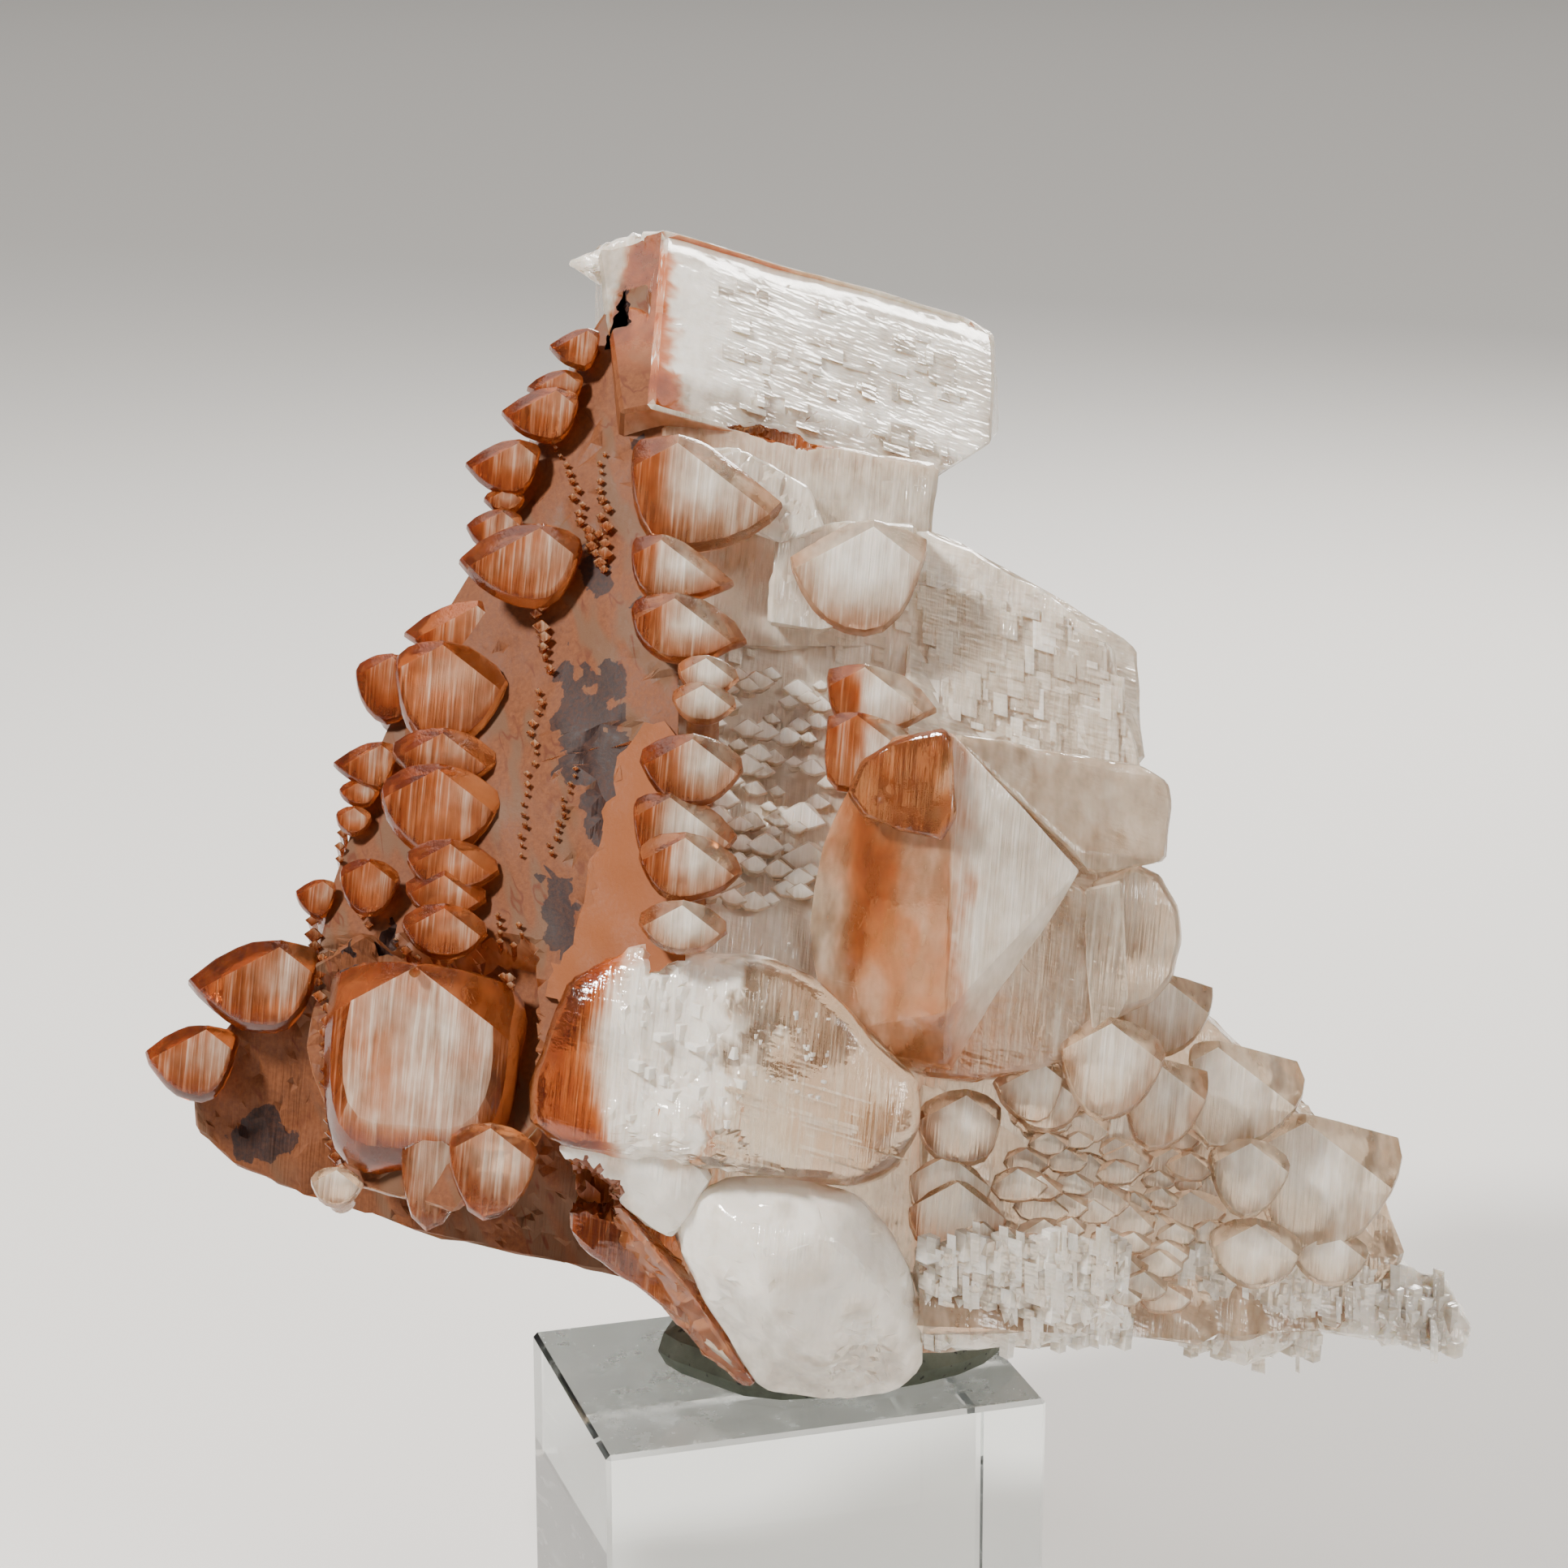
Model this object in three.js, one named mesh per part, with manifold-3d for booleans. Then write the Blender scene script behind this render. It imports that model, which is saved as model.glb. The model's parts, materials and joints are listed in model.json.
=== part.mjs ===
// Calcite and hematite cluster: nailhead crystals of calcite grown together in one parallel group, set
// in a pad of putty on a clear display block.
// Millimetres, +Z up. The origin is the centre of the block's underside, +X is right on the showing side.
import * as THREE from 'three';
import { ConvexGeometry } from 'three/addons/geometries/ConvexGeometry.js';
import { mergeVertices } from 'three/addons/utils/BufferGeometryUtils.js';
import Module from 'manifold-3d';

// Display block
const BLOCK_WIDTH = 31;
const BLOCK_DEPTH = 21.5;
const BLOCK_HEIGHT = 20;
const BLOCK_TURN = 17;
const BLOCK_EDGE = 0.3;

// Putty pad: a hand-pressed sheet, wide along the block and bulging where the specimen sits in it
const PAD_THICK = 3.4;
const PAD_HALF_LONG = 13;
const PAD_HALF_SHORT = 7;
const PAD_CENTRE = [4.4, 1.4];
const PAD_SIDES = 24;
const GAP = 0.3;

// The showing side: places are read from it as millimetres right and up of its middle, as seen from the
// viewing distance, and millimetres out towards the viewer.
const MIDDLE_HEIGHT = 62;
const VIEW_DOWN = 15.2;
const VIEW_DISTANCE = 245.6;

// Calcite: the blunt rhombohedron's faces dip 26.25 degrees from the plane across the long axis, the
// cleavage faces 44.6 degrees, and every crystal of the group has nearly the same roll.
const BLUNT_DIP = 26.25;
const CLEAVAGE_DIP = 44.6;
const CRYSTAL_ROLL = 5;

const radians = THREE.MathUtils.degToRad;
const RIGHT = new THREE.Vector3(1, 0, 0);
const OUT = new THREE.Vector3(0, -Math.cos(radians(VIEW_DOWN)), Math.sin(radians(VIEW_DOWN)));
const UP = new THREE.Vector3().crossVectors(OUT, RIGHT);
const MIDDLE = new THREE.Vector3(0, 0, MIDDLE_HEIGHT);
const EYE = MIDDLE.clone().addScaledVector(OUT, VIEW_DISTANCE);

// A direction given by its right, up and out parts.
function way(right, up, out) {
  return new THREE.Vector3()
    .addScaledVector(RIGHT, right)
    .addScaledVector(UP, up)
    .addScaledVector(OUT, out)
    .normalize();
}

// A place seen at (right, up) that stands `out` in front of the middle.
function spot(right, up, out) {
  const nearness = 1 - out / VIEW_DISTANCE;
  return MIDDLE.clone()
    .addScaledVector(RIGHT, right * nearness)
    .addScaledVector(UP, up * nearness)
    .addScaledVector(OUT, out);
}

// A face plane, from its outward normal and a place on it.
function plane(normal, place) {
  return { normal, place };
}

// How far out a plane lies where it is seen at (right, up).
function depthOn(face, right, up) {
  const ray = spot(right, up, 0).sub(EYE);
  const along = face.place.clone().sub(EYE).dot(face.normal) / ray.dot(face.normal);
  return VIEW_DISTANCE * (1 - along);
}

// A place seen at (right, up) that stands `rise` in front of a plane.
function over(face, right, up, rise) {
  return spot(right, up, depthOn(face, right, up) + rise);
}

const wasm = await Module();
wasm.setup();

function toSolid(geometry) {
  const bare = geometry.clone();
  bare.deleteAttribute('normal');
  bare.deleteAttribute('uv');
  const merged = mergeVertices(bare, 1e-4);
  return new wasm.Manifold(new wasm.Mesh({
    numProp: 3,
    vertProperties: Float32Array.from(merged.attributes.position.array),
    triVerts: Uint32Array.from(merged.index.array),
  }));
}

function toGeometry(solid) {
  const mesh = solid.getMesh();
  const geometry = new THREE.BufferGeometry();
  geometry.setAttribute('position', new THREE.BufferAttribute(Float32Array.from(mesh.vertProperties), 3));
  geometry.setIndex(Array.from(mesh.triVerts));
  const faceted = geometry.toNonIndexed();
  faceted.computeVertexNormals();
  return faceted;
}

// The outer surface of the largest piece of a solid, with closed voids inside it filled
function largestShell(solid) {
  return solid.decompose().sort((a, b) => b.volume() - a.volume())[0];
}

// The convex solid around some points. Points closer than this are one corner.
const SAME_CORNER = 0.02;
function wrap(points) {
  const corners = [];
  for (const point of points) {
    if (corners.every((corner) => corner.distanceTo(point) > SAME_CORNER)) corners.push(point);
  }
  return toSolid(new ConvexGeometry(corners));
}

// The convex solid inside a set of face planes: its corners are where three planes meet.
function cleave(faces) {
  const corners = [];
  const isInside = (point) => faces.every((face) => point.clone().sub(face.place).dot(face.normal) < 1e-5);
  for (let i = 0; i < faces.length; i += 1) {
    for (let j = i + 1; j < faces.length; j += 1) {
      for (let k = j + 1; k < faces.length; k += 1) {
        const corner = meetingPoint(faces[i], faces[j], faces[k]);
        if (corner && isInside(corner)) corners.push(corner);
      }
    }
  }
  return wrap(corners);
}

function meetingPoint(a, b, c) {
  const bc = new THREE.Vector3().crossVectors(b.normal, c.normal);
  const ca = new THREE.Vector3().crossVectors(c.normal, a.normal);
  const ab = new THREE.Vector3().crossVectors(a.normal, b.normal);
  const volume = a.normal.dot(bc);
  if (Math.abs(volume) < 1e-6) return null;
  return bc.multiplyScalar(a.normal.dot(a.place))
    .addScaledVector(ca, b.normal.dot(b.place))
    .addScaledVector(ab, c.normal.dot(c.place))
    .divideScalar(volume);
}

// A crystal's directions. Its long axis leans up from the viewer by the blunt dip, so that one blunt face
// looks straight out. around(angle) points square to the axis: 0 down, 90 right, 180 up, -90 left.
function crystalFrame(roll) {
  const turn = new THREE.Quaternion().setFromAxisAngle(OUT, radians(-roll));
  const axis = way(0, Math.sin(radians(BLUNT_DIP)), Math.cos(radians(BLUNT_DIP))).applyQuaternion(turn);
  const down = way(0, -Math.cos(radians(BLUNT_DIP)), Math.sin(radians(BLUNT_DIP))).applyQuaternion(turn);
  const around = (angle) => down.clone().applyAxisAngle(axis, radians(angle));
  const dipping = (angle, dip) => axis.clone().multiplyScalar(Math.cos(radians(dip)))
    .addScaledVector(around(angle), Math.sin(radians(dip)));
  return {
    axis,
    around,
    front: dipping(0, BLUNT_DIP),
    upperRight: dipping(120, BLUNT_DIP),
    upperLeft: dipping(-120, BLUNT_DIP),
    cleavage: [180, -60, 60].map((angle) => dipping(angle, CLEAVAGE_DIP)),
  };
}

const GROUP_FRAME = crystalFrame(CRYSTAL_ROLL);

// A nailhead crystal: three blunt faces meet in its tip, above a round head that narrows to a shank.
// left, right and reach are the head's spans from the tip to the left, right and below. crest is its span
// above the tip, and leftWing and rightWing what is left of the upper faces, all as shares of the width.
// bevel rounds the rim of a large head, and plain makes a small one with few faces.
function nailhead({
  tip, left, right, reach, crest = 0.25, leftWing = 0.5, rightWing = 0.5, length = 9,
  band = 0.5, flare = 6, tuck = 36, bevel = 0, plain = false, roll = 0,
}) {
  const frame = crystalFrame(CRYSTAL_ROLL + roll);
  const upper = [frame.front, frame.upperRight, frame.upperLeft];
  const faces = upper.map((normal) => plane(normal, tip));
  const width = (left + right) / 2;
  const slope = Math.tan(radians(BLUNT_DIP));
  const side = (angle, span, drop, taper) => plane(
    frame.around(angle).multiplyScalar(Math.cos(radians(taper)))
      .addScaledVector(frame.axis, -Math.sin(radians(taper))),
    tip.clone().addScaledVector(frame.around(angle), span).addScaledVector(frame.axis, -drop),
  );
  const steepest = (angle) => Math.max(...[0, 120, -120].map((turn) => Math.cos(radians(angle - turn))));
  const rimAngles = plain ? [-90, -50, -12, 25, 60, 95] : [-95, -58, -22, 14, 52, 90];
  for (const angle of rimAngles) {
    const half = angle < 0 ? left : right;
    const span = Math.hypot(half * Math.sin(radians(angle)), reach * Math.cos(radians(angle)));
    const drop = slope * span * steepest(angle);
    faces.push(side(angle, span, drop, plain ? tuck / 2 : flare));
    if (!plain) faces.push(side(angle, span, drop + band, tuck));
    if (bevel > 0) {
      const rim = side(angle, span - bevel, drop - slope * bevel, flare);
      rim.normal.add(frame.front).normalize();
      faces.push(rim);
    }
  }
  faces.push(side(-150, width * leftWing, 0, 0));
  faces.push(side(180, width * crest, 0, 0));
  faces.push(side(150, width * rightWing, 0, 0));
  faces.push(plane(frame.axis.clone().negate(), tip.clone().addScaledVector(frame.axis, -length)));
  return cleave(faces);
}

// A flat-faced body: an outline seen on a face plane, carried back into the group. rim rounds its front
// edge, shrink narrows its back, and lean shifts the back right and up.
function slab({ face, outline, thick, shrink = 0.9, rim = 0, lean = [0, 0] }) {
  const count = outline.length;
  const middle = [0, 1].map((axis) => outline.reduce((sum, corner) => sum + corner[axis], 0) / count);
  const scaled = (corner, scale) => corner.map((value, axis) => (
    middle[axis] + (value - middle[axis]) * scale
  ));
  const size = Math.max(...outline.map((corner) => Math.hypot(corner[0] - middle[0], corner[1] - middle[1])));
  const points = [];
  for (const corner of outline) {
    const out = depthOn(face, ...corner);
    const front = scaled(corner, 1 - rim / size);
    const back = scaled(corner, shrink);
    points.push(spot(...front, depthOn(face, ...front)));
    if (rim > 0) points.push(spot(...corner, out - rim));
    points.push(spot(back[0] + lean[0], back[1] + lean[1], out - thick));
  }
  return wrap(points);
}

// A body given by its own corners, each right, up and out.
function lump(...rings) {
  return wrap(rings.flat().map((corner) => spot(...corner)));
}

// A cleavage rhomb: three pairs of cleavage faces about a place.
function rhomb(place, spans) {
  const faces = [];
  GROUP_FRAME.cleavage.forEach((normal, index) => {
    faces.push(plane(normal, place.clone().addScaledVector(normal, spans[index])));
    faces.push(plane(normal.clone().negate(), place.clone().addScaledVector(normal, -spans[index])));
  });
  return cleave(faces);
}

// The planes that the group is built along
const LEFT_WALL = plane(way(-0.5, 0.35, 0.79), spot(-8.7, 24.5, -6));
const RISER = plane(way(0.05, 0.35, 0.93), spot(5, 0, 2));
const SKIRT = plane(way(0.1, -0.1, 0.97), spot(0, -20, 5));
const RIGHT_SLOPE = plane(way(0.3, 0.3, 0.9), spot(12.7, -23.5, 4));
const LEFT_FOOT = plane(way(-0.25, -0.15, 0.95), spot(-30, -22, -4));
const BLUNT_RIGHT = plane(GROUP_FRAME.upperRight, spot(9, 17.3, -9));

function topBlock() {
  const frame = crystalFrame(2.5);
  const tip = spot(-7.9, 37.1, -15);
  const block = cleave([
    plane(frame.upperRight, tip),
    plane(frame.upperLeft, tip),
    plane(frame.around(180), tip),
    plane(frame.around(0), spot(-8.7, 24.5, -4.5)),
    plane(way(-0.9, -0.42, 0.1), spot(-12, 29, -14)),
    plane(way(-0.8, 0.6, 0), spot(-14.4, 34.8, -17)),
    plane(way(1, 0.02, 0.1), spot(14, 27, -22)),
    plane(way(0.5, 0.86, -0.1), spot(12.2, 31.6, -22)),
    plane(way(0.5, -0.86, -0.1), spot(12.4, 22.2, -21)),
    plane(way(0.1, -0.9, -0.45), spot(4, 19.6, -20)),
    plane(way(0, 0.3, -1), spot(0, 30, -30)),
  ]);
  const fin = lump(
    [[-7.9, 37, -15.2], [-14.4, 34.9, -17], [-14.1, 34.2, -17], [-12.1, 33.2, -17], [-10, 33.4, -15]],
    [[-7.5, 36, -19], [-13.4, 34.2, -19.5], [-11.5, 33, -19.5], [-8, 33, -19]],
  );
  const upperTier = slab({
    face: plane(way(0.15, 0.35, 0.92), spot(0, 18, -4)),
    outline: [[-8.2, 24], [-4.7, 24], [5, 21.8], [10.2, 21.2], [9.9, 18.8], [9.4, 17], [9.2, 9], [-8, 9]],
    thick: 14,
  });
  return [block, fin, upperTier];
}

function leftWall() {
  return [
    slab({
      face: LEFT_WALL,
      outline: [
        [-11.2, 33], [-9, 33.6], [-7, 14.4], [-6.8, -11.6], [-14.4, -24], [-22, -28.6], [-29.1, -26.8],
        [-32, -17.6], [-30.4, -7], [-28.4, -1.5], [-26.6, 3.6], [-19.8, 13.3], [-16.4, 19.8], [-13.3, 26.4],
        [-12, 30.7],
      ],
      thick: 12,
    }),
    slab({
      face: LEFT_FOOT,
      outline: [
        [-36.2, -15], [-39.6, -20.8], [-39.1, -23], [-36.7, -25.2], [-32, -27.3], [-28, -28.7],
        [-22, -29.8], [-17.1, -30.9], [-14.4, -32], [-9.5, -32.8], [-9, -26], [-12, -20], [-28, -10],
      ],
      thick: 8,
    }),
  ];
}

function middleMass() {
  return [
    slab({
      face: RISER,
      outline: [
        [-8, 12], [8.5, 12], [9.4, 17.1], [12.1, 15.5], [17.6, 12.8], [22, 9], [24, 0], [24, -14], [9, -19],
        [-12, -19], [-8, 0],
      ],
      thick: 20,
    }),
    slab({
      face: BLUNT_RIGHT,
      outline: [[8.5, 16.8], [9.4, 17.2], [12.1, 15.6], [17.6, 12.9], [23.6, 9], [24, 1.6], [18, 0], [8, 3]],
      thick: 12,
    }),
    slab({
      face: SKIRT,
      outline: [
        [-14, -14], [10, -12], [24, -14], [23, -36], [21, -37.4], [9.4, -37.8], [-3, -39], [-8, -35],
        [-9.5, -32.8], [-14.4, -30],
      ],
      thick: 18,
      lean: [0, 2.6],
    }),
  ];
}

// The lower right: a slope of overlapping heads that ends in broken, cleaved calcite
function rightSlope() {
  return [
    slab({
      face: RIGHT_SLOPE,
      outline: [
        [22, -10], [28.8, -17.8], [34.7, -22.6], [40, -26.8], [41.2, -31.6], [37, -36.4], [28, -37.2],
        [23, -36], [9, -36.5], [9, -20],
      ],
      thick: 14,
      lean: [0, 1.5],
    }),
    slab({
      face: RIGHT_SLOPE,
      outline: [
        [35.5, -31], [40.9, -31.9], [44.1, -33], [44.5, -34.8], [45.9, -36.2], [45.7, -37.6], [43.2, -37.5],
        [39, -36.4], [35.5, -36.6],
      ],
      thick: 6,
    }),
    lump(
      [[26, -31, 3], [27.2, -37, 1], [28.2, -37.6, 0.6], [30.4, -38.7, 0.5], [32, -38, 0.5], [36, -36.8, 0]],
      [[36, -31, 1.5], [28, -32, -6], [29.5, -37.6, -5], [35, -36, -6]],
    ),
    lump(
      [[9, -31, 8], [13, -30.4, 9], [17, -30.6, 8.6], [22.6, -30.6, 7.4], [23.2, -36.4, 6], [17, -37.4, 6]],
      [[9, -37.6, 6.5], [9, -31, -2], [22, -31, -2], [22, -36, -3], [9, -37, -3]],
    ),
  ];
}

function lowCrystals() {
  const bigCrystal = slab({
    face: plane(way(-0.06, 0.12, 0.99), spot(-4, -18, 12)),
    outline: [
      [-15.2, -13.3], [-12.3, -11.8], [-8.5, -11], [-2.5, -11.3], [2.4, -14], [9.2, -19], [9.4, -23.5],
      [6.5, -27.6], [-3.6, -26.5], [-14.4, -23.8], [-17.3, -22.2], [-17.2, -18.5],
    ],
    thick: 10,
    rim: 1.6,
  });
  const whiteCrystal = lump(
    [[-5, -24.5, 12.4], [0, -26.6, 13.4], [5, -28.6, 12.8], [7.2, -32, 11], [6.6, -36, 8.6], [3, -38.6, 6.6]],
    [[-0.5, -37, 8], [-3.4, -33, 10], [-5.4, -28.5, 11.6], [2, -32.4, 12.4]],
    [[-11.5, -23, 9], [-6, -22.5, 9], [4, -26.4, 9], [7.8, -29, 8], [9.3, -33, 6.5], [9.4, -37, 4.5]],
    [[7.8, -39.8, 3], [2, -41.6, 1.8], [-1, -40.6, 2.5], [-4.5, -36.8, 5], [-7.1, -32.4, 7]],
    [[-9.8, -28, 8], [-8, -24, 0], [4, -28, -1], [7.5, -34, -2], [6, -38, -1.5], [0, -38, -1], [-5, -32, 0]],
  );
  return [bigCrystal, whiteCrystal];
}

// The centre crystal: an upright ridge between a curved left side and the front face, with a wide upper
// right face and a full, rounded belly below
function centreCrystal() {
  return [
    lump(
      [[11.3, 3.5, 12], [19.5, -4.5, 12.4], [19.2, -6.4, 12.2], [14, -10.6, 12.4], [10.9, -14.9, 12.8]],
      [[10.7, -16.7, 12.6], [7.4, 3.2, 10], [5.2, 1.2, 9.2], [4.4, -1.2, 9], [2, -5, 8], [1.7, -9.5, 8.6]],
      [[2.3, -12.8, 9.2], [4, -16.4, 9.8], [7.3, -18.4, 10.4], [11.6, -19.3, 10.8], [17, -18.6, 10]],
      [[4.4, -17.4, 8], [7.6, -19.2, 8.4], [12, -19.9, 8.6], [17.4, -19.2, 8]],
      [[20.8, -17.4, 9], [22, -15.4, 8.4], [22, -11.4, 8.8], [20.4, -7, 10.6]],
      [[10, 3, -4], [5, 0, -6], [3, -12, -6], [8, -17.6, -5], [19, -17, -6], [21, -8, -6]],
    ),
    lump(
      [[11.3, 3.5, 12], [19.5, -4.5, 12.2], [23.7, 1.4, 5], [25.7, 0.1, 5], [25.9, -1.3, 5.6]],
      [[25.5, -5.1, 7.4], [20.6, -6, 11], [11, 2.8, -6], [23.4, 0.8, -6], [24.8, -4.6, -6], [18, -6, -6]],
    ),
    slab({
      face: plane(way(0.15, 0.1, 0.98), spot(23, -10, 7)),
      outline: [
        [20.5, -6.5], [23.5, -5.3], [25.2, -6.1], [26.3, -8.3], [26.5, -10.5], [26, -13], [24.6, -14.6],
        [22.2, -15.7], [20.5, -11.6],
      ],
      thick: 12,
      rim: 0.8,
    }),
  ];
}

function columnHeads() {
  return [
    // beside the left wall, its right column from the top
    { tip: over(RISER, -7.1, 22.8, 9), left: 3, right: 8.5, reach: 6, length: 13, band: 0.8, rightWing: 0.3 },
    { tip: over(LEFT_WALL, -8.2, 16.3, 6.5), left: 1.9, right: 6, reach: 3.3, rightWing: 0.3 },
    { tip: over(LEFT_WALL, -7.3, 12.4, 5.5), left: 2.8, right: 5.6, reach: 3.4 },
    { tip: over(LEFT_WALL, -5.2, 8.4, 3.5), left: 1.8, right: 2.4, reach: 2, plain: true },
    { tip: over(LEFT_WALL, -5.4, 6.6, 3.5), left: 2, right: 2.4, reach: 2, plain: true },
    { tip: over(LEFT_WALL, -6.1, 3, 4.5), left: 3.4, right: 3.5, reach: 3.6 },
    { tip: over(LEFT_WALL, -7.6, -0.9, 4), left: 2.3, right: 4.6, reach: 4.6 },
    { tip: over(LEFT_WALL, -6.6, -3.6, 3.4), left: 2.9, right: 4, reach: 3.4 },
    { tip: over(LEFT_WALL, -6.8, -8.1, 3.5), left: 2.8, right: 3.2, reach: 2.5, plain: true },
    // the upper tier's striated head
    {
      tip: over(RISER, 6, 17.2, 7), left: 5.6, right: 3.6, reach: 6.2, length: 13, leftWing: 0.3,
      rightWing: 1.2,
    },
    // left column from the top
    { tip: over(LEFT_WALL, -13.1, 30.3, 3), left: 2.8, right: 0.8, reach: 2.2, plain: true },
    { tip: over(LEFT_WALL, -14.6, 27.5, 2.6), left: 3, right: 1.2, reach: 1.7, plain: true },
    { tip: over(LEFT_WALL, -15.2, 26.3, 3.6), left: 4, right: 1.5, reach: 3, plain: true },
    { tip: over(LEFT_WALL, -17.7, 22.8, 3.6), left: 3.9, right: 1.4, reach: 3.1, plain: true },
    { tip: over(LEFT_WALL, -18.5, 19.7, 2.4), left: 1.7, right: 1.2, reach: 1.3, plain: true },
    { tip: over(LEFT_WALL, -18.8, 18.2, 2.6), left: 2.6, right: 1.4, reach: 2.4, plain: true },
    { tip: over(LEFT_WALL, -16.3, 17.1, 5), left: 5.8, right: 2.9, reach: 4.5, length: 12 },
    { tip: over(LEFT_WALL, -20.5, 11.9, 0.6), left: 5.6, right: 2, reach: 3.4 },
    { tip: over(LEFT_WALL, -26.2, 8.5, 3.4), left: 2.5, right: 2.4, reach: 3.9 },
    { tip: over(LEFT_WALL, -22.8, 9.3, 5), left: 3.2, right: 4.7, reach: 5.8, length: 13, band: 0.8 },
    { tip: over(LEFT_WALL, -22.8, 3.4, 4), left: 3.5, right: 4, reach: 3, plain: true },
    { tip: over(LEFT_WALL, -26.9, 2.6, 3.2), left: 3.6, right: 1, reach: 2.5, plain: true },
    { tip: over(LEFT_WALL, -28.2, 0.2, 2.6), left: 1.6, right: 1.2, reach: 1.4, plain: true },
    { tip: over(LEFT_WALL, -28.7, -1.6, 2.2), left: 1.3, right: 1.2, reach: 1.5, plain: true },
    { tip: over(LEFT_WALL, -23.1, 1, 4.8), left: 3.9, right: 4.5, reach: 4.9, length: 12, band: 0.7 },
    { tip: over(LEFT_WALL, -22.3, -4, 4), left: 3, right: 3.5, reach: 2.7, plain: true },
    { tip: over(LEFT_WALL, -22.7, -6.1, 3.6), left: 2.7, right: 3, reach: 2.3, plain: true },
    { tip: over(LEFT_WALL, -22.7, -8.3, 4), left: 2.8, right: 3.1, reach: 2.8, plain: true },
    { tip: over(LEFT_WALL, -27.7, -5.2, 4), left: 2, right: 2.1, reach: 3.1, plain: true },
    { tip: over(LEFT_WALL, -30.8, -6.5, 2), left: 1.9, right: 0.8, reach: 2.1, plain: true },
    {
      tip: over(LEFT_WALL, -24, -12, 5.8), left: 6.2, right: 8, reach: 8.8, length: 16, band: 1.8,
      bevel: 0.9, crest: 0.2, leftWing: 0.7, rightWing: 0.8,
    },
    { tip: over(LEFT_WALL, -33.7, -10.9, 4), left: 6.9, right: 2.6, reach: 4.9, length: 11, band: 0.7 },
    { tip: over(LEFT_WALL, -38.6, -16.4, 4), left: 4.4, right: 2, reach: 4.1, length: 8 },
    { tip: over(LEFT_WALL, -19.6, -23, 2.4), left: 2.6, right: 3.2, reach: 5 },
    { tip: over(LEFT_WALL, -23.4, -23.4, 1.6), left: 2, right: 2.4, reach: 5.4 },
  ];
}

// Small heads stacked down the lower left, like beads
function leftStack() {
  const heads = [];
  const count = 9;
  for (let i = 0; i < count; i += 1) {
    const share = i / (count - 1);
    const half = 1 + 0.25 * Math.sin(i * 2.4);
    const end = i === count - 1 ? 1.5 : 1;
    heads.push({
      tip: over(LEFT_WALL, -31.2 + 1.6 * share, -10.6 - 15 * share, 3 - share),
      left: half * end, right: half * end, reach: 1.5 * end, length: 5, plain: true,
    });
  }
  return heads;
}

function rightHeads() {
  return [
    { tip: spot(5.5, 7.8, 6.4), left: 2.6, right: 6.5, reach: 3, length: 12, rightWing: 0.4 },
    { tip: spot(5.3, 5.2, 7.2), left: 2, right: 6, reach: 3.4, length: 12, rightWing: 0.4 },
    { tip: spot(25.4, -13, 5), left: 3, right: 3.4, reach: 4.4, rightWing: 1.4 },
    { tip: spot(29, -17.6, 5), left: 1.7, right: 6.2, reach: 5.9, length: 11, rightWing: 1.6, leftWing: 0.3 },
    { tip: spot(34.9, -22.6, 3), left: 3, right: 7, reach: 7.6, length: 12, rightWing: 1.6 },
    { tip: spot(21.9, -16, 10), left: 3.2, right: 3.8, reach: 5.4, length: 12 },
    { tip: spot(24.9, -18.6, 8.6), left: 2, right: 3.6, reach: 5, length: 11, rightWing: 1 },
    { tip: spot(17.3, -18.7, 9.4), left: 3.2, right: 1.4, reach: 3.4 },
    { tip: spot(31.2, -24, 5.6), left: 2.6, right: 2.8, reach: 4.2 },
    { tip: spot(26.6, -23, 7), left: 2.4, right: 2.4, reach: 3.2, plain: true },
    { tip: spot(21.6, -21.6, 8.6), left: 2.4, right: 2.4, reach: 3.2, plain: true },
    { tip: spot(14.6, -23.2, 8.6), left: 2.6, right: 2.6, reach: 3, plain: true },
    { tip: spot(18.4, -23.8, 8.4), left: 2, right: 2.2, reach: 3.2, plain: true },
    { tip: spot(22, -24.6, 8), left: 2.2, right: 2.4, reach: 3.6, plain: true },
    { tip: spot(25, -26, 7.2), left: 1.9, right: 2, reach: 4.4, plain: true },
    { tip: spot(21, -28, 7.6), left: 2.2, right: 2.6, reach: 3.8, plain: true },
    { tip: spot(28.2, -26.4, 6), left: 2, right: 2.4, reach: 4, plain: true },
    { tip: spot(11.6, -25.2, 9), left: 3, right: 3.4, reach: 3.8, plain: true },
    { tip: spot(11.6, -28, 9.4), left: 3, right: 4, reach: 3.8, plain: true },
    { tip: spot(17, -27.4, 8), left: 2.3, right: 2.6, reach: 3.6, plain: true },
    { tip: spot(24.6, -31, 6.4), left: 2.4, right: 2.2, reach: 4, plain: true },
    { tip: spot(31.6, -29.4, 4.4), left: 3, right: 3.4, reach: 3.6, plain: true },
    { tip: spot(36.6, -30, 3), left: 2.6, right: 2.8, reach: 3, plain: true },
  ];
}

// Small pointed crystals, closely set in rows between the right column and the centre crystal
function smallPoints() {
  const heads = [];
  const rows = 5;
  const columns = 3;
  for (let row = 0; row < rows; row += 1) {
    for (let column = 0; column < columns; column += 1) {
      const step = row * columns + column;
      const right = -2.6 + column * 2.5 + 0.6 * Math.sin(step * 2.1);
      const up = 5.6 - row * 2.5 - column * 0.9 + 0.5 * Math.sin(step * 3.7);
      const size = 1.3 + 0.35 * Math.sin(step * 1.7);
      heads.push({
        tip: over(RISER, right, up, 2.1 - 0.3 * column), left: size, right: size * 1.2, reach: size * 1.4,
        length: 5, plain: true,
      });
    }
  }
  return heads;
}

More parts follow.
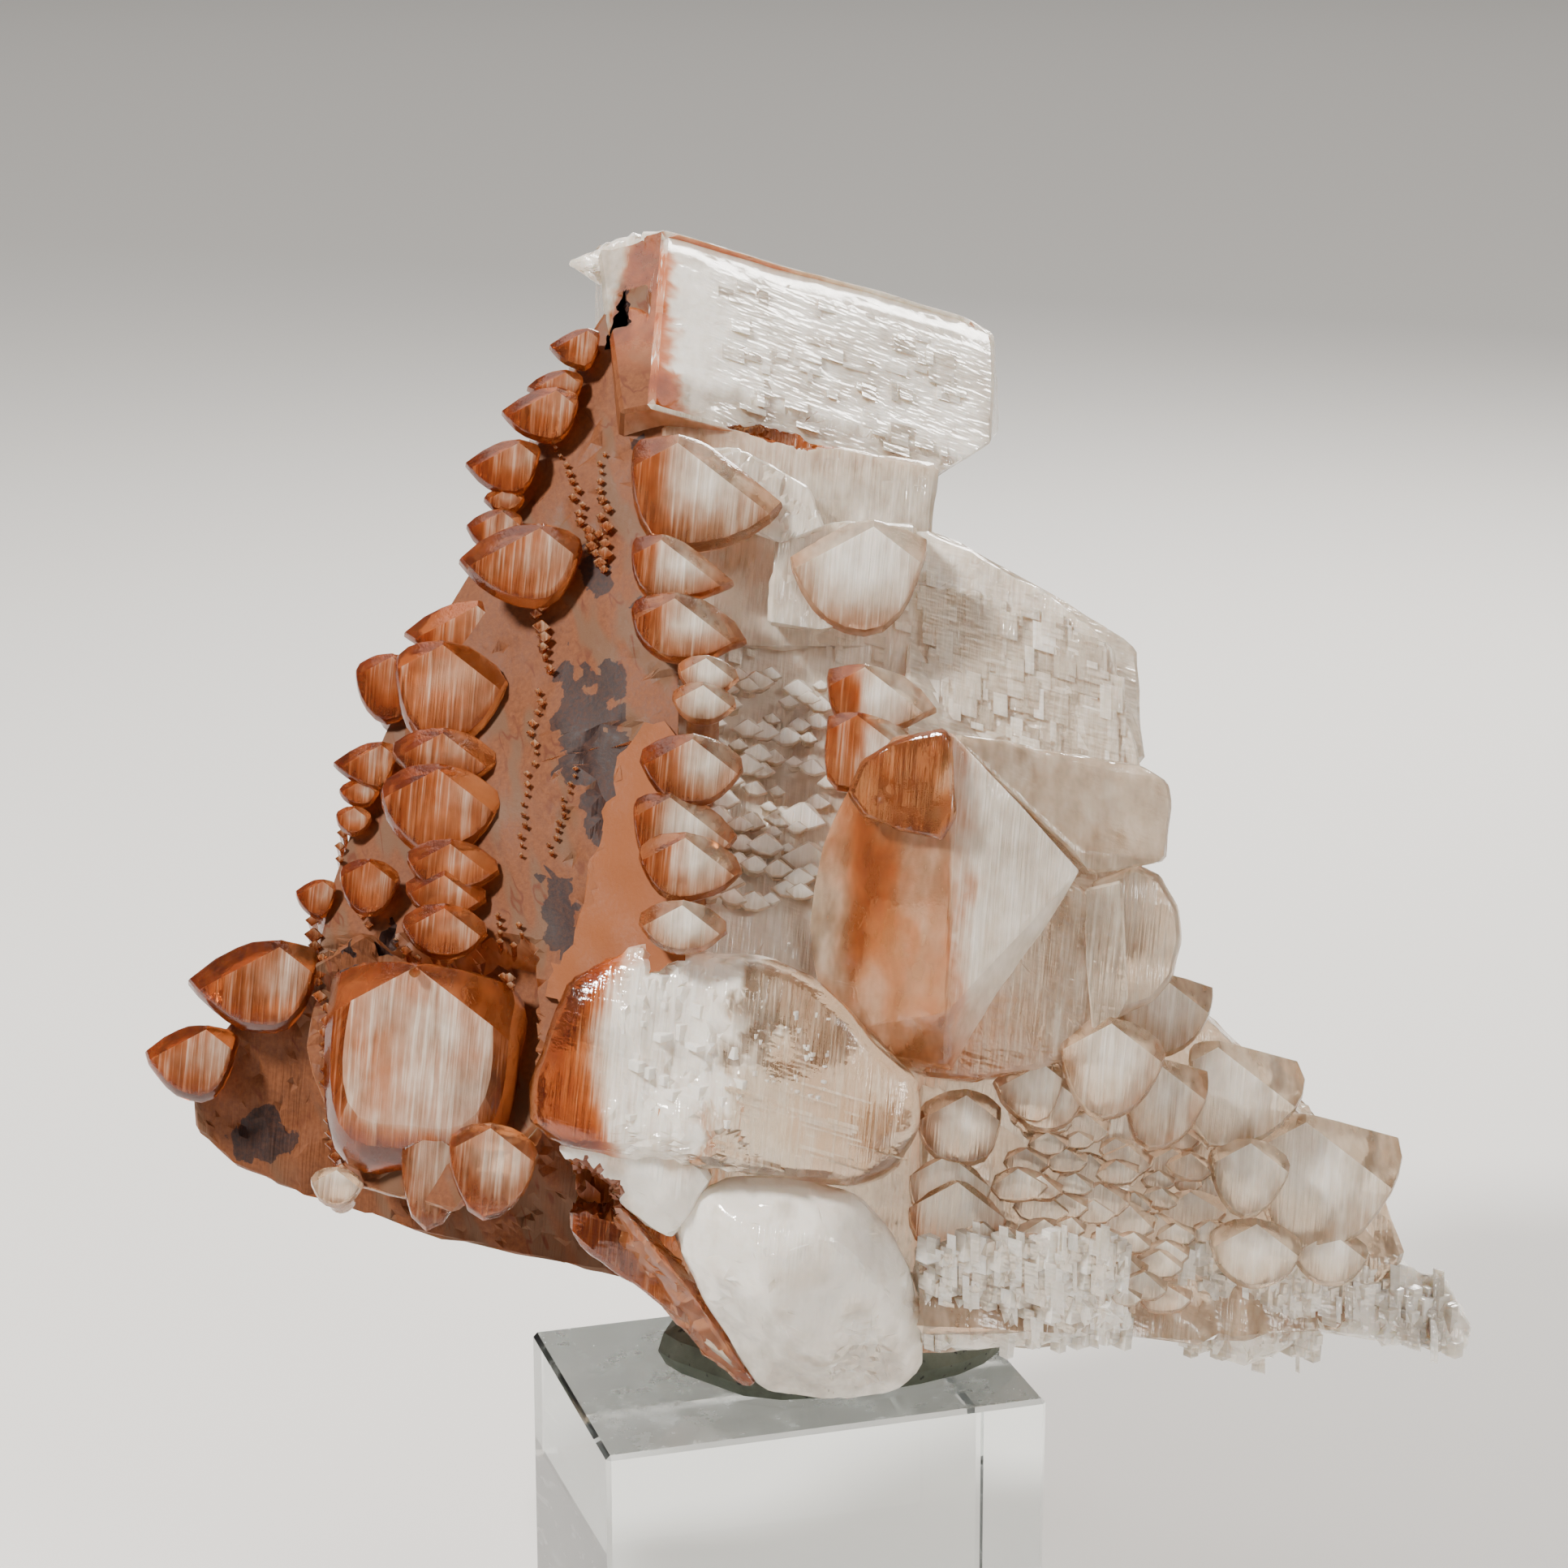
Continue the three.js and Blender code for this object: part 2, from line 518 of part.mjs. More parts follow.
// The far side is broken: cleavage rhombs stand in steps on it
function farSide() {
  return [
    rhomb(spot(3, 13, -18), [4, 5, 6]),
    rhomb(spot(-10, 8, -16), [5, 5, 6]),
    rhomb(spot(3, 2, -17), [6, 6, 5]),
    rhomb(spot(14, 1, -14), [5, 5, 5]),
    rhomb(spot(-19, -7, -15), [5, 6, 5]),
    rhomb(spot(-4, -12, -14), [6, 5, 6]),
    rhomb(spot(13, -14, -13), [5, 6, 6]),
    rhomb(spot(27, -25, -8), [4, 5, 5]),
    rhomb(spot(-27, -20, -10), [4, 5, 4]),
  ];
}

// Hollows: the cleft in the top block's left face, gaps between the left heads and a pit under the big
// crystal
function pits() {
  return [
    lump(
      [[-10.6, 33.2, -6], [-12, 29, -6], [-10.1, 29, -6]],
      [[-10.8, 32.6, -20], [-11.6, 29.4, -20], [-10.5, 29.4, -20]],
    ),
    lump(
      [[-27.4, -8.4, 8], [-25.6, -7.4, 8], [-25.5, -11.4, 8], [-27.2, -12.2, 8]],
      [[-27, -9, -5], [-26, -8.6, -5], [-26, -11, -5], [-26.8, -11.4, -5]],
    ),
    lump(
      [[-30.6, -9.4, 8], [-28.6, -8.8, 8], [-28.2, -12, 8], [-30, -12.4, 8]],
      [[-30.2, -10, -5], [-29, -9.6, -5], [-28.8, -11.4, -5], [-29.8, -11.6, -5]],
    ),
    lump(
      [[-16, -24.8, 16], [-12.4, -24.4, 16], [-10.8, -26.4, 16], [-10.6, -28.8, 16], [-15.4, -28.8, 16]],
      [[-15.2, -25.4, -1], [-12.4, -25.2, -1], [-11.4, -26.8, -1], [-11.4, -28, -1], [-14.8, -28, -1]],
    ),
  ];
}

const heads = [...columnHeads(), ...leftStack(), ...rightHeads(), ...smallPoints()];
const parts = [
  ...topBlock(), ...leftWall(), ...middleMass(), ...rightSlope(), ...lowCrystals(), ...centreCrystal(),
  ...farSide(), ...heads.map(nailhead),
];
const grown = parts.reduce((sum, body) => sum.add(body));
const cluster = largestShell(pits().reduce((sum, pit) => sum.subtract(pit), grown));

// The putty pad, pressed by the specimen: the specimen's form is taken out of it with a gap all round
function puttyPad() {
  const base = [];
  for (let i = 0; i < PAD_SIDES; i += 1) {
    const turn = (i / PAD_SIDES) * 2 * Math.PI;
    const wave = 1 + 0.06 * Math.sin(3 * turn + 0.6) + 0.04 * Math.sin(5 * turn);
    for (const [level, scale] of [[0, 0.96], [0.3, 1], [0.7, 0.97], [1, 0.84]]) {
      base.push(new THREE.Vector3(
        PAD_HALF_LONG * wave * scale * Math.cos(turn),
        PAD_HALF_SHORT * wave * scale * Math.sin(turn),
        level * PAD_THICK,
      ));
    }
  }
  const place = new THREE.Matrix4().makeRotationZ(radians(BLOCK_TURN))
    .setPosition(PAD_CENTRE[0], PAD_CENTRE[1], BLOCK_HEIGHT + GAP);
  let pad = wrap(base.map((point) => point.applyMatrix4(place)));
  const shifts = [[0, 0, -GAP], [GAP, 0, 0], [-GAP, 0, 0], [0, GAP, 0], [0, -GAP, 0]];
  for (const shift of shifts) pad = pad.subtract(cluster.translate(shift));
  return largestShell(pad);
}

// The block, with its edges broken by a small chamfer
function displayBlock() {
  const points = [];
  for (const x of [-1, 1]) {
    for (const y of [-1, 1]) {
      for (const z of [-1, 1]) {
        const half = [BLOCK_WIDTH / 2, BLOCK_DEPTH / 2, BLOCK_HEIGHT / 2];
        for (let short = 0; short < 3; short += 1) {
          const corner = half.map((size, axis) => (axis === short ? size : size - BLOCK_EDGE));
          points.push(new THREE.Vector3(x * corner[0], y * corner[1], z * corner[2]));
        }
      }
    }
  }
  return new ConvexGeometry(points);
}

function pieceOf(name, geometry, colour, roughness) {
  const material = new THREE.MeshStandardMaterial({ color: colour, roughness, metalness: 0 });
  const mesh = new THREE.Mesh(geometry, material);
  mesh.name = name;
  return mesh;
}

const object = new THREE.Group();
object.add(pieceOf('calcite_cluster', toGeometry(cluster), 0xe3c3ac, 0.35));
object.add(pieceOf('putty_pad', toGeometry(puttyPad()), 0x6e7364, 0.85));
const block = pieceOf('acrylic_block', displayBlock(), 0xdfe8ea, 0.05);
block.position.z = BLOCK_HEIGHT / 2;
block.rotation.z = radians(BLOCK_TURN);
object.add(block);

export default object;
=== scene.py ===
# Calcite and hematite cluster: nailhead crystals in one parallel group, putty and a clear display block.
# Lengths are millimetres until a mesh is made. Places are read as in the CAD: right and up of the middle
# of the showing side, as seen from the viewing distance, and out towards the viewer.
import json
import math
import bmesh
import bpy
import numpy as np
from mathutils import Matrix, Vector

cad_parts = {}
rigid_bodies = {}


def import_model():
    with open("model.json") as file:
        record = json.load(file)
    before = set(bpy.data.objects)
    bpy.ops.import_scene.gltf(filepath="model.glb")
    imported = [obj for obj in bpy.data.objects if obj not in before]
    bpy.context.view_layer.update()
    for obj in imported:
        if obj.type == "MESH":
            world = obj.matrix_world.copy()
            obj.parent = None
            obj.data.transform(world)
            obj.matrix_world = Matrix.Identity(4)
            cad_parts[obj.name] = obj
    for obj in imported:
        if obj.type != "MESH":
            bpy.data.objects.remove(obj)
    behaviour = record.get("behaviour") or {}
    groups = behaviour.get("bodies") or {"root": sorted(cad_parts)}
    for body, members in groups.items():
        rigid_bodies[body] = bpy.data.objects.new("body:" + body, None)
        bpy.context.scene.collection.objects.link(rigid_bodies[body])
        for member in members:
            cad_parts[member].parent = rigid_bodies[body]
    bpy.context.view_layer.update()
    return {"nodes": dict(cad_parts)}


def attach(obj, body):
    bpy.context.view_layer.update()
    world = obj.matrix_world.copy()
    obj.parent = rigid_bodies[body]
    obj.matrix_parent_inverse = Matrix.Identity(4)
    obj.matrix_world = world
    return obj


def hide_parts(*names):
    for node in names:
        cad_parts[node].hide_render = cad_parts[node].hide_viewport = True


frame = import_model()

MM = 0.001
SEED = 7

# The view
MIDDLE_HEIGHT = 62
VIEW_DOWN = 15.2
VIEW_DISTANCE = 245.6
LENS = 84.4
SENSOR = 36

# Calcite
BLUNT_DIP = 26.25
CLEAVAGE_DIP = 44.6
CRYSTAL_ROLL = 5
STEP_SLANT = 16

RIGHT = np.array([1.0, 0.0, 0.0])
OUT = np.array([0.0, -math.cos(math.radians(VIEW_DOWN)), math.sin(math.radians(VIEW_DOWN))])
UP = np.cross(OUT, RIGHT)
MIDDLE = np.array([0.0, 0.0, MIDDLE_HEIGHT])
EYE = MIDDLE + OUT * VIEW_DISTANCE

dice = np.random.default_rng(SEED)


# Places and directions

def way(right, up, out):
    direction = right * RIGHT + up * UP + out * OUT
    return direction / np.linalg.norm(direction)


def spot(right, up, out):
    near = 1 - out / VIEW_DISTANCE
    return MIDDLE + right * near * RIGHT + up * near * UP + out * OUT


def seen(points):
    """Right, up and out of world points, the reverse of spot()."""
    off = points - MIDDLE
    out = off @ OUT
    near = 1 - out / VIEW_DISTANCE
    return off @ RIGHT / near, off @ UP / near, out


def plane(normal, place):
    return normal, place


def depth_on(face, right, up):
    normal, place = face
    ray = spot(right, up, 0) - EYE
    return VIEW_DISTANCE * (1 - (place - EYE) @ normal / (ray @ normal))


def over(face, right, up, rise):
    return spot(right, up, depth_on(face, right, up) + rise)


def turned(vector, axis, degrees):
    angle = math.radians(degrees)
    return (vector * math.cos(angle) + np.cross(axis, vector) * math.sin(angle)
            + axis * (axis @ vector) * (1 - math.cos(angle)))


class Crystal:
    """The directions of a crystal: its long axis, and the faces round it. Angle 0 is down, 90 right."""

    def __init__(self, roll=CRYSTAL_ROLL):
        dip = math.radians(BLUNT_DIP)
        self.axis = turned(way(0, math.sin(dip), math.cos(dip)), OUT, -roll)
        self.down = turned(way(0, -math.cos(dip), math.sin(dip)), OUT, -roll)

    def around(self, angle):
        return turned(self.down, self.axis, angle)

    def dipping(self, angle, dip):
        return self.axis * math.cos(math.radians(dip)) + self.around(angle) * math.sin(math.radians(dip))


GROUP = Crystal()
LEFT_WALL = plane(way(-0.5, 0.35, 0.79), spot(-8.7, 24.5, -6))
RISER = plane(way(0.05, 0.35, 0.93), spot(5, 0, 2))
SKIRT = plane(way(0.1, -0.1, 0.97), spot(0, -20, 5))
RIGHT_SLOPE = plane(way(0.3, 0.3, 0.9), spot(12.7, -23.5, 4))
LEFT_FOOT = plane(way(-0.25, -0.15, 0.95), spot(-30, -22, -4))
BLUNT_RIGHT = plane(GROUP.dipping(120, BLUNT_DIP), spot(9, 17.3, -9))


# Variation

def ease(value, low, high):
    share = np.clip((value - low) / (high - low), 0, 1)
    return share * share * (3 - 2 * share)


def chance(cells, seed):
    """A fixed number from 0 to 1 for each whole-number cell."""
    mixed = (cells.astype(np.int64) * np.array([73856093, 19349663, 83492791])).sum(-1)
    mixed = (mixed ^ (seed * 2654435761)) & 0xFFFFFFFF
    mixed = (mixed ^ (mixed >> 15)) * 2246822519 & 0xFFFFFFFF
    mixed = (mixed ^ (mixed >> 13)) * 3266489917 & 0xFFFFFFFF
    return (mixed ^ (mixed >> 16)) / 0x100000000


def noise(points, size, seed=0):
    """Smooth noise from 0 to 1. size is the width of its lumps, one number or three."""
    scaled = points / size
    base = np.floor(scaled)
    part = scaled - base
    part = part * part * (3 - 2 * part)
    total = 0
    for corner in np.ndindex(2, 2, 2):
        weight = np.prod(np.where(corner, part, 1 - part), axis=-1)
        total = total + weight * chance(base + corner, seed)
    return total


def facets(points, size, seed=0):
    """Broken facets: in each cell the height runs along a slope of its own."""
    scaled = points / size
    base = np.floor(scaled)
    nearest = np.full(len(points), np.inf)
    height = np.zeros(len(points))
    for corner in np.ndindex(3, 3, 3):
        cell = base + np.array(corner) - 1
        away = scaled - cell - np.stack([chance(cell, seed + k) for k in range(3)], axis=-1)
        tilt = np.stack([chance(cell, seed + k) - 0.5 for k in range(3, 6)], axis=-1)
        distance = np.linalg.norm(away, axis=1)
        closer = distance < nearest
        nearest = np.where(closer, distance, nearest)
        height = np.where(closer, (away * tilt).sum(1) + 0.4 * (chance(cell, seed + 6) - 0.5), height)
    return height


# Bodies: triangle meshes with a relief, and a shade at each corner

BARE = dict(hematite=0.05, milk=0.4, wall=0, cleaved=0, layer=0, dark=0)
CHANNELS = list(BARE)


def shade(count, **values):
    mixed = {**BARE, **values}
    return np.stack([np.broadcast_to(mixed[name], count) for name in CHANNELS], axis=-1).astype(float)


class Body:
    def __init__(self, points, triangles, tone, cuts=False):
        self.points = np.asarray(points, float)
        self.triangles = np.asarray(triangles, int)
        self.tone = tone
        self.cuts = cuts

    def lift(self, relief):
        """Moves each point along its normal by relief(points, normals)."""
        corners = self.points[self.triangles]
        flat = np.cross(corners[:, 1] - corners[:, 0], corners[:, 2] - corners[:, 0])
        normals = np.zeros_like(self.points)
        for column in range(3):
            np.add.at(normals, self.triangles[:, column], flat)
        normals /= np.maximum(np.linalg.norm(normals, axis=1, keepdims=True), 1e-9)
        self.points = self.points + normals * relief(self.points, normals)[:, None]
        return self

    def shades(self):
        corners = self.points[self.triangles]
        flat = np.cross(corners[:, 1] - corners[:, 0], corners[:, 2] - corners[:, 0])
        flat /= np.maximum(np.linalg.norm(flat, axis=1, keepdims=True), 1e-12)
        return self.tone(corners.reshape(-1, 3), np.repeat(flat, 3, axis=0))


def even(**values):
    """A tone that is the same all over a body."""
    return lambda points, normals: shade(len(points), **values)


def divided(triangles, middles):
    """Triangles parted at the middles of their sides, where a middle of -1 is a whole side."""
    count = (middles >= 0).sum(1)
    parts = [triangles[count == 0].T]
    for turn in range(3):
        rolled, mids = np.roll(triangles, -turn, axis=1), np.roll(middles, -turn, axis=1)
        one = (count == 1) & (mids[:, 0] >= 0)
        (a, b, c), m = rolled[one].T, mids[one, 0]
        parts += [np.stack([a, m, c]), np.stack([m, b, c])]
        two = (count == 2) & (mids[:, 2] < 0)
        (a, b, c), m, n = rolled[two].T, mids[two, 0], mids[two, 1]
        parts += [np.stack([m, b, n]), np.stack([a, m, n]), np.stack([a, n, c])]
    (a, b, c), (m, n, o) = triangles[count == 3].T, middles[count == 3].T
    parts += [np.stack([a, m, o]), np.stack([m, b, n]), np.stack([o, n, c]), np.stack([m, n, o])]
    return np.concatenate(parts, axis=1).T


def refine(points, triangles, longest, hidden=4.0):
    """Parts long sides: to `longest` where a face looks at the viewer, `hidden` times coarser elsewhere."""
    for _ in range(40):
        corners = points[triangles]
        sides = np.roll(corners, -1, axis=1) - corners
        lengths = np.linalg.norm(sides, axis=2)
        normals = np.cross(sides[:, 0], sides[:, 1])
        shown = normals @ OUT > 0.2 * np.linalg.norm(normals, axis=1)
        limit = np.where(shown, longest, longest * hidden)[:, None]
        wanted = (lengths > limit) & (lengths > lengths.max(1, keepdims=True) - 1e-9)
        ends = np.sort(np.stack([triangles, np.roll(triangles, -1, axis=1)], axis=2), axis=2).reshape(-1, 2)
        edges, index = np.unique(ends[:, 0] * len(points) + ends[:, 1], return_inverse=True)
        split = np.zeros(len(edges), bool)
        split[index[wanted.ravel()]] = True
        if not split.any():
            break
        middle_of = np.full(len(edges), -1)
        middle_of[split] = len(points) + np.arange(split.sum())
        first, second = edges[split] // len(points), edges[split] % len(points)
        middles = middle_of[index].reshape(-1, 3)
        points = np.vstack([points, (points[first] + points[second]) / 2])
        triangles = divided(triangles, middles)
    return points, triangles


def soften(points, triangles, times):
    """Each point moves half way to the middle of its neighbours, several times."""
    first, second = np.concatenate([triangles, np.roll(triangles, -1, axis=1)], axis=0).reshape(2, -1)
    degree = np.bincount(first, minlength=len(points)) + np.bincount(second, minlength=len(points))
    for _ in range(times):
        total = np.zeros_like(points)
        np.add.at(total, first, points[second])
        np.add.at(total, second, points[first])
        points = points * 0.5 + total / degree[:, None] * 0.5
    return points


def convex(points):
    """The convex hull of some points, with its flat faces whole."""
    bm = bmesh.new()
    for point in points:
        bm.verts.new(point)
    hull = bmesh.ops.convex_hull(bm, input=bm.verts)
    loose = {item for item in hull["geom_interior"] + hull["geom_unused"] if isinstance(item, bmesh.types.BMVert)}
    bmesh.ops.delete(bm, geom=list(loose), context="VERTS")
    bmesh.ops.remove_doubles(bm, verts=bm.verts, dist=0.02)
    bmesh.ops.dissolve_limit(bm, angle_limit=math.radians(1), verts=bm.verts, edges=bm.edges)
    return bm


def arrays(bm):
    """The points and triangles of a bmesh, which is freed."""
    bmesh.ops.triangulate(bm, faces=bm.faces)
    bmesh.ops.recalc_face_normals(bm, faces=bm.faces)
    bm.verts.index_update()
    points = np.array([vert.co[:] for vert in bm.verts], float)
    triangles = np.array([[vert.index for vert in face.verts] for face in bm.faces], int)
    bm.free()
    return points, triangles


def wrap(points, tone, edge=0.0, longest=0.0, soft=0, relief=None, cuts=False, hidden=4.0):
    """The convex body round some points: edge bevels it, longest splits its faces, soft rounds it."""
    bm = convex(points)
    if edge > 0:
        inset = []
        for face in bm.faces:
            for loop in face.loops:
                ways = [loop.link_loop_prev.vert.co - loop.vert.co, loop.link_loop_next.vert.co - loop.vert.co]
                step = min(edge, *(0.3 * side.length for side in ways))
                inset.append(loop.vert.co + step * (ways[0].normalized() + ways[1].normalized()))
        bm.free()
        bm = convex(inset)
    points, triangles = arrays(bm)
    if longest > 0:
        points, triangles = refine(points, triangles, longest, hidden)
    if soft > 0:
        points = soften(points, triangles, soft)
    body = Body(points, triangles, tone, cuts)
    return body.lift(relief) if relief else body


def lump(*rings, **options):
    return wrap([spot(*corner) for ring in rings for corner in ring], **options)


def slab(face, outline, thick, shrink=0.9, rim=0.0, lean=(0, 0), **options):
    """A flat-faced body: an outline seen on a face plane, carried back into the group."""
    outline = np.asarray(outline, float)
    middle = outline.mean(0)
    size = np.linalg.norm(outline - middle, axis=1).max()
    points = []
    for corner in outline:
        out = depth_on(face, *corner)
        front = middle + (corner - middle) * (1 - rim / size)
        back = middle + (corner - middle) * shrink + lean
        points.append(spot(*front, depth_on(face, *front)))
        if rim > 0:
            points.append(spot(*corner, out - rim))
        points.append(spot(*back, out - thick))
    return wrap(points, **options)


def cleave(faces, **options):
    """The convex body inside a set of face planes."""
    corners = []
    for i, (first, at_first) in enumerate(faces):
        for j, (second, at_second) in enumerate(faces[:i]):
            for third, at_third in faces[:j]:
                normals = np.array([first, second, third])
                if abs(np.linalg.det(normals)) < 1e-6:
                    continue
                goals = [first @ at_first, second @ at_second, third @ at_third]
                corner = np.linalg.solve(normals, goals)
                if all((corner - place) @ normal < 1e-5 for normal, place in faces):
                    corners.append(corner)
    return wrap(corners, **options)


def rhomb(place, spans, **options):
    faces = []
    for angle, span in zip((180, -60, 60), spans):
        normal = GROUP.dipping(angle, CLEAVAGE_DIP)
        faces.append(plane(normal, place + normal * span))
        faces.append(plane(-normal, place - normal * span))
    return cleave(faces, **options)


# Tints of a head: hematite at its left end, its right end and its rim (the rim also takes painted shade under it);
# face is how much its front face is painted whiter and less orange, a painted highlight where that face catches the
# light
WARM = dict(left=0.86, right=0.55, rim=0.92, milk=0.3, turn=(-0.6, 0.7), face=0.26)
RUSTY = dict(left=0.9, right=0.08, rim=0.65, milk=0.3, turn=(-0.6, 0.35), face=0.12)
PEACH = dict(left=0.55, right=0.08, rim=0.45, milk=0.35, turn=(-0.9, 0.2), face=0.4)
PALE = dict(left=0.12, right=0.06, rim=0.13, milk=0.34, turn=(-0.5, 0.5), face=0.6)
BEIGE = dict(left=0.22, right=0.14, rim=0.24, milk=0.3, turn=(-0.8, 0.4), face=0.5)


def head(tip, left, right, reach, crest=0.16, left_wing=0.4, right_wing=0.4, length=7.5, band=0.5,
         flare=6, tuck=36, bevel=0.0, roll=0.0, corners=30, ledges=2, tint=WARM, waver=0.03,
         square=2.0):
    """A nailhead crystal: three blunt faces meet in its tip, over a round head that narrows in ledges."""
    crystal = Crystal(CRYSTAL_ROLL + roll)
    seed = int(dice.integers(1, 10000))
    width = (left + right) / 2
    slope = math.tan(math.radians(BLUNT_DIP))
    lip = bevel if bevel > 0 else 0.05 * width

    def steep(turn):
        return np.max([np.cos(turn - math.radians(face)) for face in (0, 120, -120)], axis=0)

    def rim(turn):
        side = np.where(turn < 0, left, right)
        across = np.abs(np.sin(turn)) / side
        below = np.maximum(np.cos(turn), 0) / reach
        shares = [(across ** square + below ** square) ** (1 / square)]
        for face, span in ((180, crest), (-150, left_wing), (150, right_wing)):
            shares.append(np.maximum(np.cos(turn - math.radians(face)), 0) / (span * width))
        round_rim = np.sum([share ** 10 for share in shares], axis=0) ** -0.1
        ripple = np.stack([np.cos(turn) * 2, np.sin(turn) * 2, turn * 0 + seed], axis=-1)
        return round_rim * (1 + waver * (2 * noise(ripple, 0.8, seed) - 1))

    turns = np.radians(np.arange(corners) * 360 / corners - 180)
    rims = rim(turns)
    fall = slope * steep(turns)
    shares = (0.5, 1) if corners > 24 else (1,)
    rings = [(share * (rims - lip), -fall * share * (rims - lip)) for share in shares]
    edge = -fall * (rims - lip)
    if corners > 24:
        rings.append((rims - 0.35 * lip, edge - fall * lip * 0.65 - 0.2 * lip))
    rings.append((rims, edge - fall * lip - 0.75 * lip))
    depth = 0.9 * lip + band
    rings.append((rims + band * math.tan(math.radians(flare)), edge - fall * lip - depth))
    radius = 1 - 0.03
    for ledge in range(ledges):
        depth += 0.12 * width + 0.1
        inner = radius - 0.16
        rings.append((rims * radius, edge - depth))
        depth += 0.05 * width + 0.05
        rings.append((rims * (inner + 0.04), edge - depth))
        radius = inner + 0.02
    depth += width * radius * 0.5 / math.tan(math.radians(tuck))
    rings.append((rims * radius * 0.75, edge - depth))
    rings.append((rims * 0.55, np.full(corners, -max(length, depth + 2 + fall.max() * rims.max()))))

    radial = np.array([crystal.around(math.degrees(turn)) for turn in turns])
    points = [tip]
    for reach_out, height in rings:
        points.extend(tip + radial * reach_out[:, None] + crystal.axis * height[:, None])
    points.append(tip + crystal.axis * rings[-1][1][0])
    triangles = []
    last = len(points) - 1
    for k in range(corners):
        after = (k + 1) % corners
        triangles.append((0, 1 + k, 1 + after))
        for ring in range(len(rings) - 1):
            low, high = 1 + ring * corners, 1 + (ring + 1) * corners
            triangles.append((low + k, high + k, high + after))
            triangles.append((low + k, high + after, low + after))
        foot = 1 + (len(rings) - 1) * corners
        triangles.append((last, foot + after, foot + k))

    def tone(spots, normals):
        off = spots - tip
        across, down, along = off @ crystal.around(90), off @ crystal.down, off @ crystal.axis
        turn = np.arctan2(across, down)
        out = np.hypot(across, down)
        # under: the faces below the lip; with the rim they take the rim's deeper orange, hematite at the rim and
        # painted shade under it
        under = ease(-slope * steep(turn) * out - along, 0.3 * lip, 1.2 * lip)
        side = across / np.where(across < 0, left, right)
        rim_stain_and_under_shade = np.maximum(under, ease(out / rim(turn), 0.84, 1.0))
        rim_stain_and_under_shade = rim_stain_and_under_shade * (0.6 + 0.4 * (1 - ease(side, 0, 1))) * (0.4 + 0.6 * ease(np.cos(turn), -0.5, 0.2))
        # painted highlight: the front blunt face, turned up to the light, is painted whiter and less orange, over its
        # milky striated calcite
        painted_lit_front = ease(normals @ crystal.dipping(0, BLUNT_DIP), 0.93, 0.985) * (1 - rim_stain_and_under_shade)
        level = tint["right"] + (tint["left"] - tint["right"]) * (1 - ease(side, *tint["turn"]))
        # the upper-left face is painted a deeper orange: hematite, deepened as painted shade on a face turned from
        # the light
        painted_shade_upper_left = ease(normals @ crystal.dipping(-120, BLUNT_DIP), 0.9, 0.99)
        level = level + 0.25 * painted_shade_upper_left * tint["left"] * (1 - level)
        level = level * (1 - tint["face"] * painted_lit_front)
        level = level + (np.maximum(tint["rim"], level) - level) * rim_stain_and_under_shade
        milk = tint["milk"] * (0.6 + 0.4 * painted_lit_front) + 0.4 * painted_lit_front * (1 - level)
        return shade(len(spots), hematite=level, milk=milk)

    return Body(points, triangles, tone)


# Masses

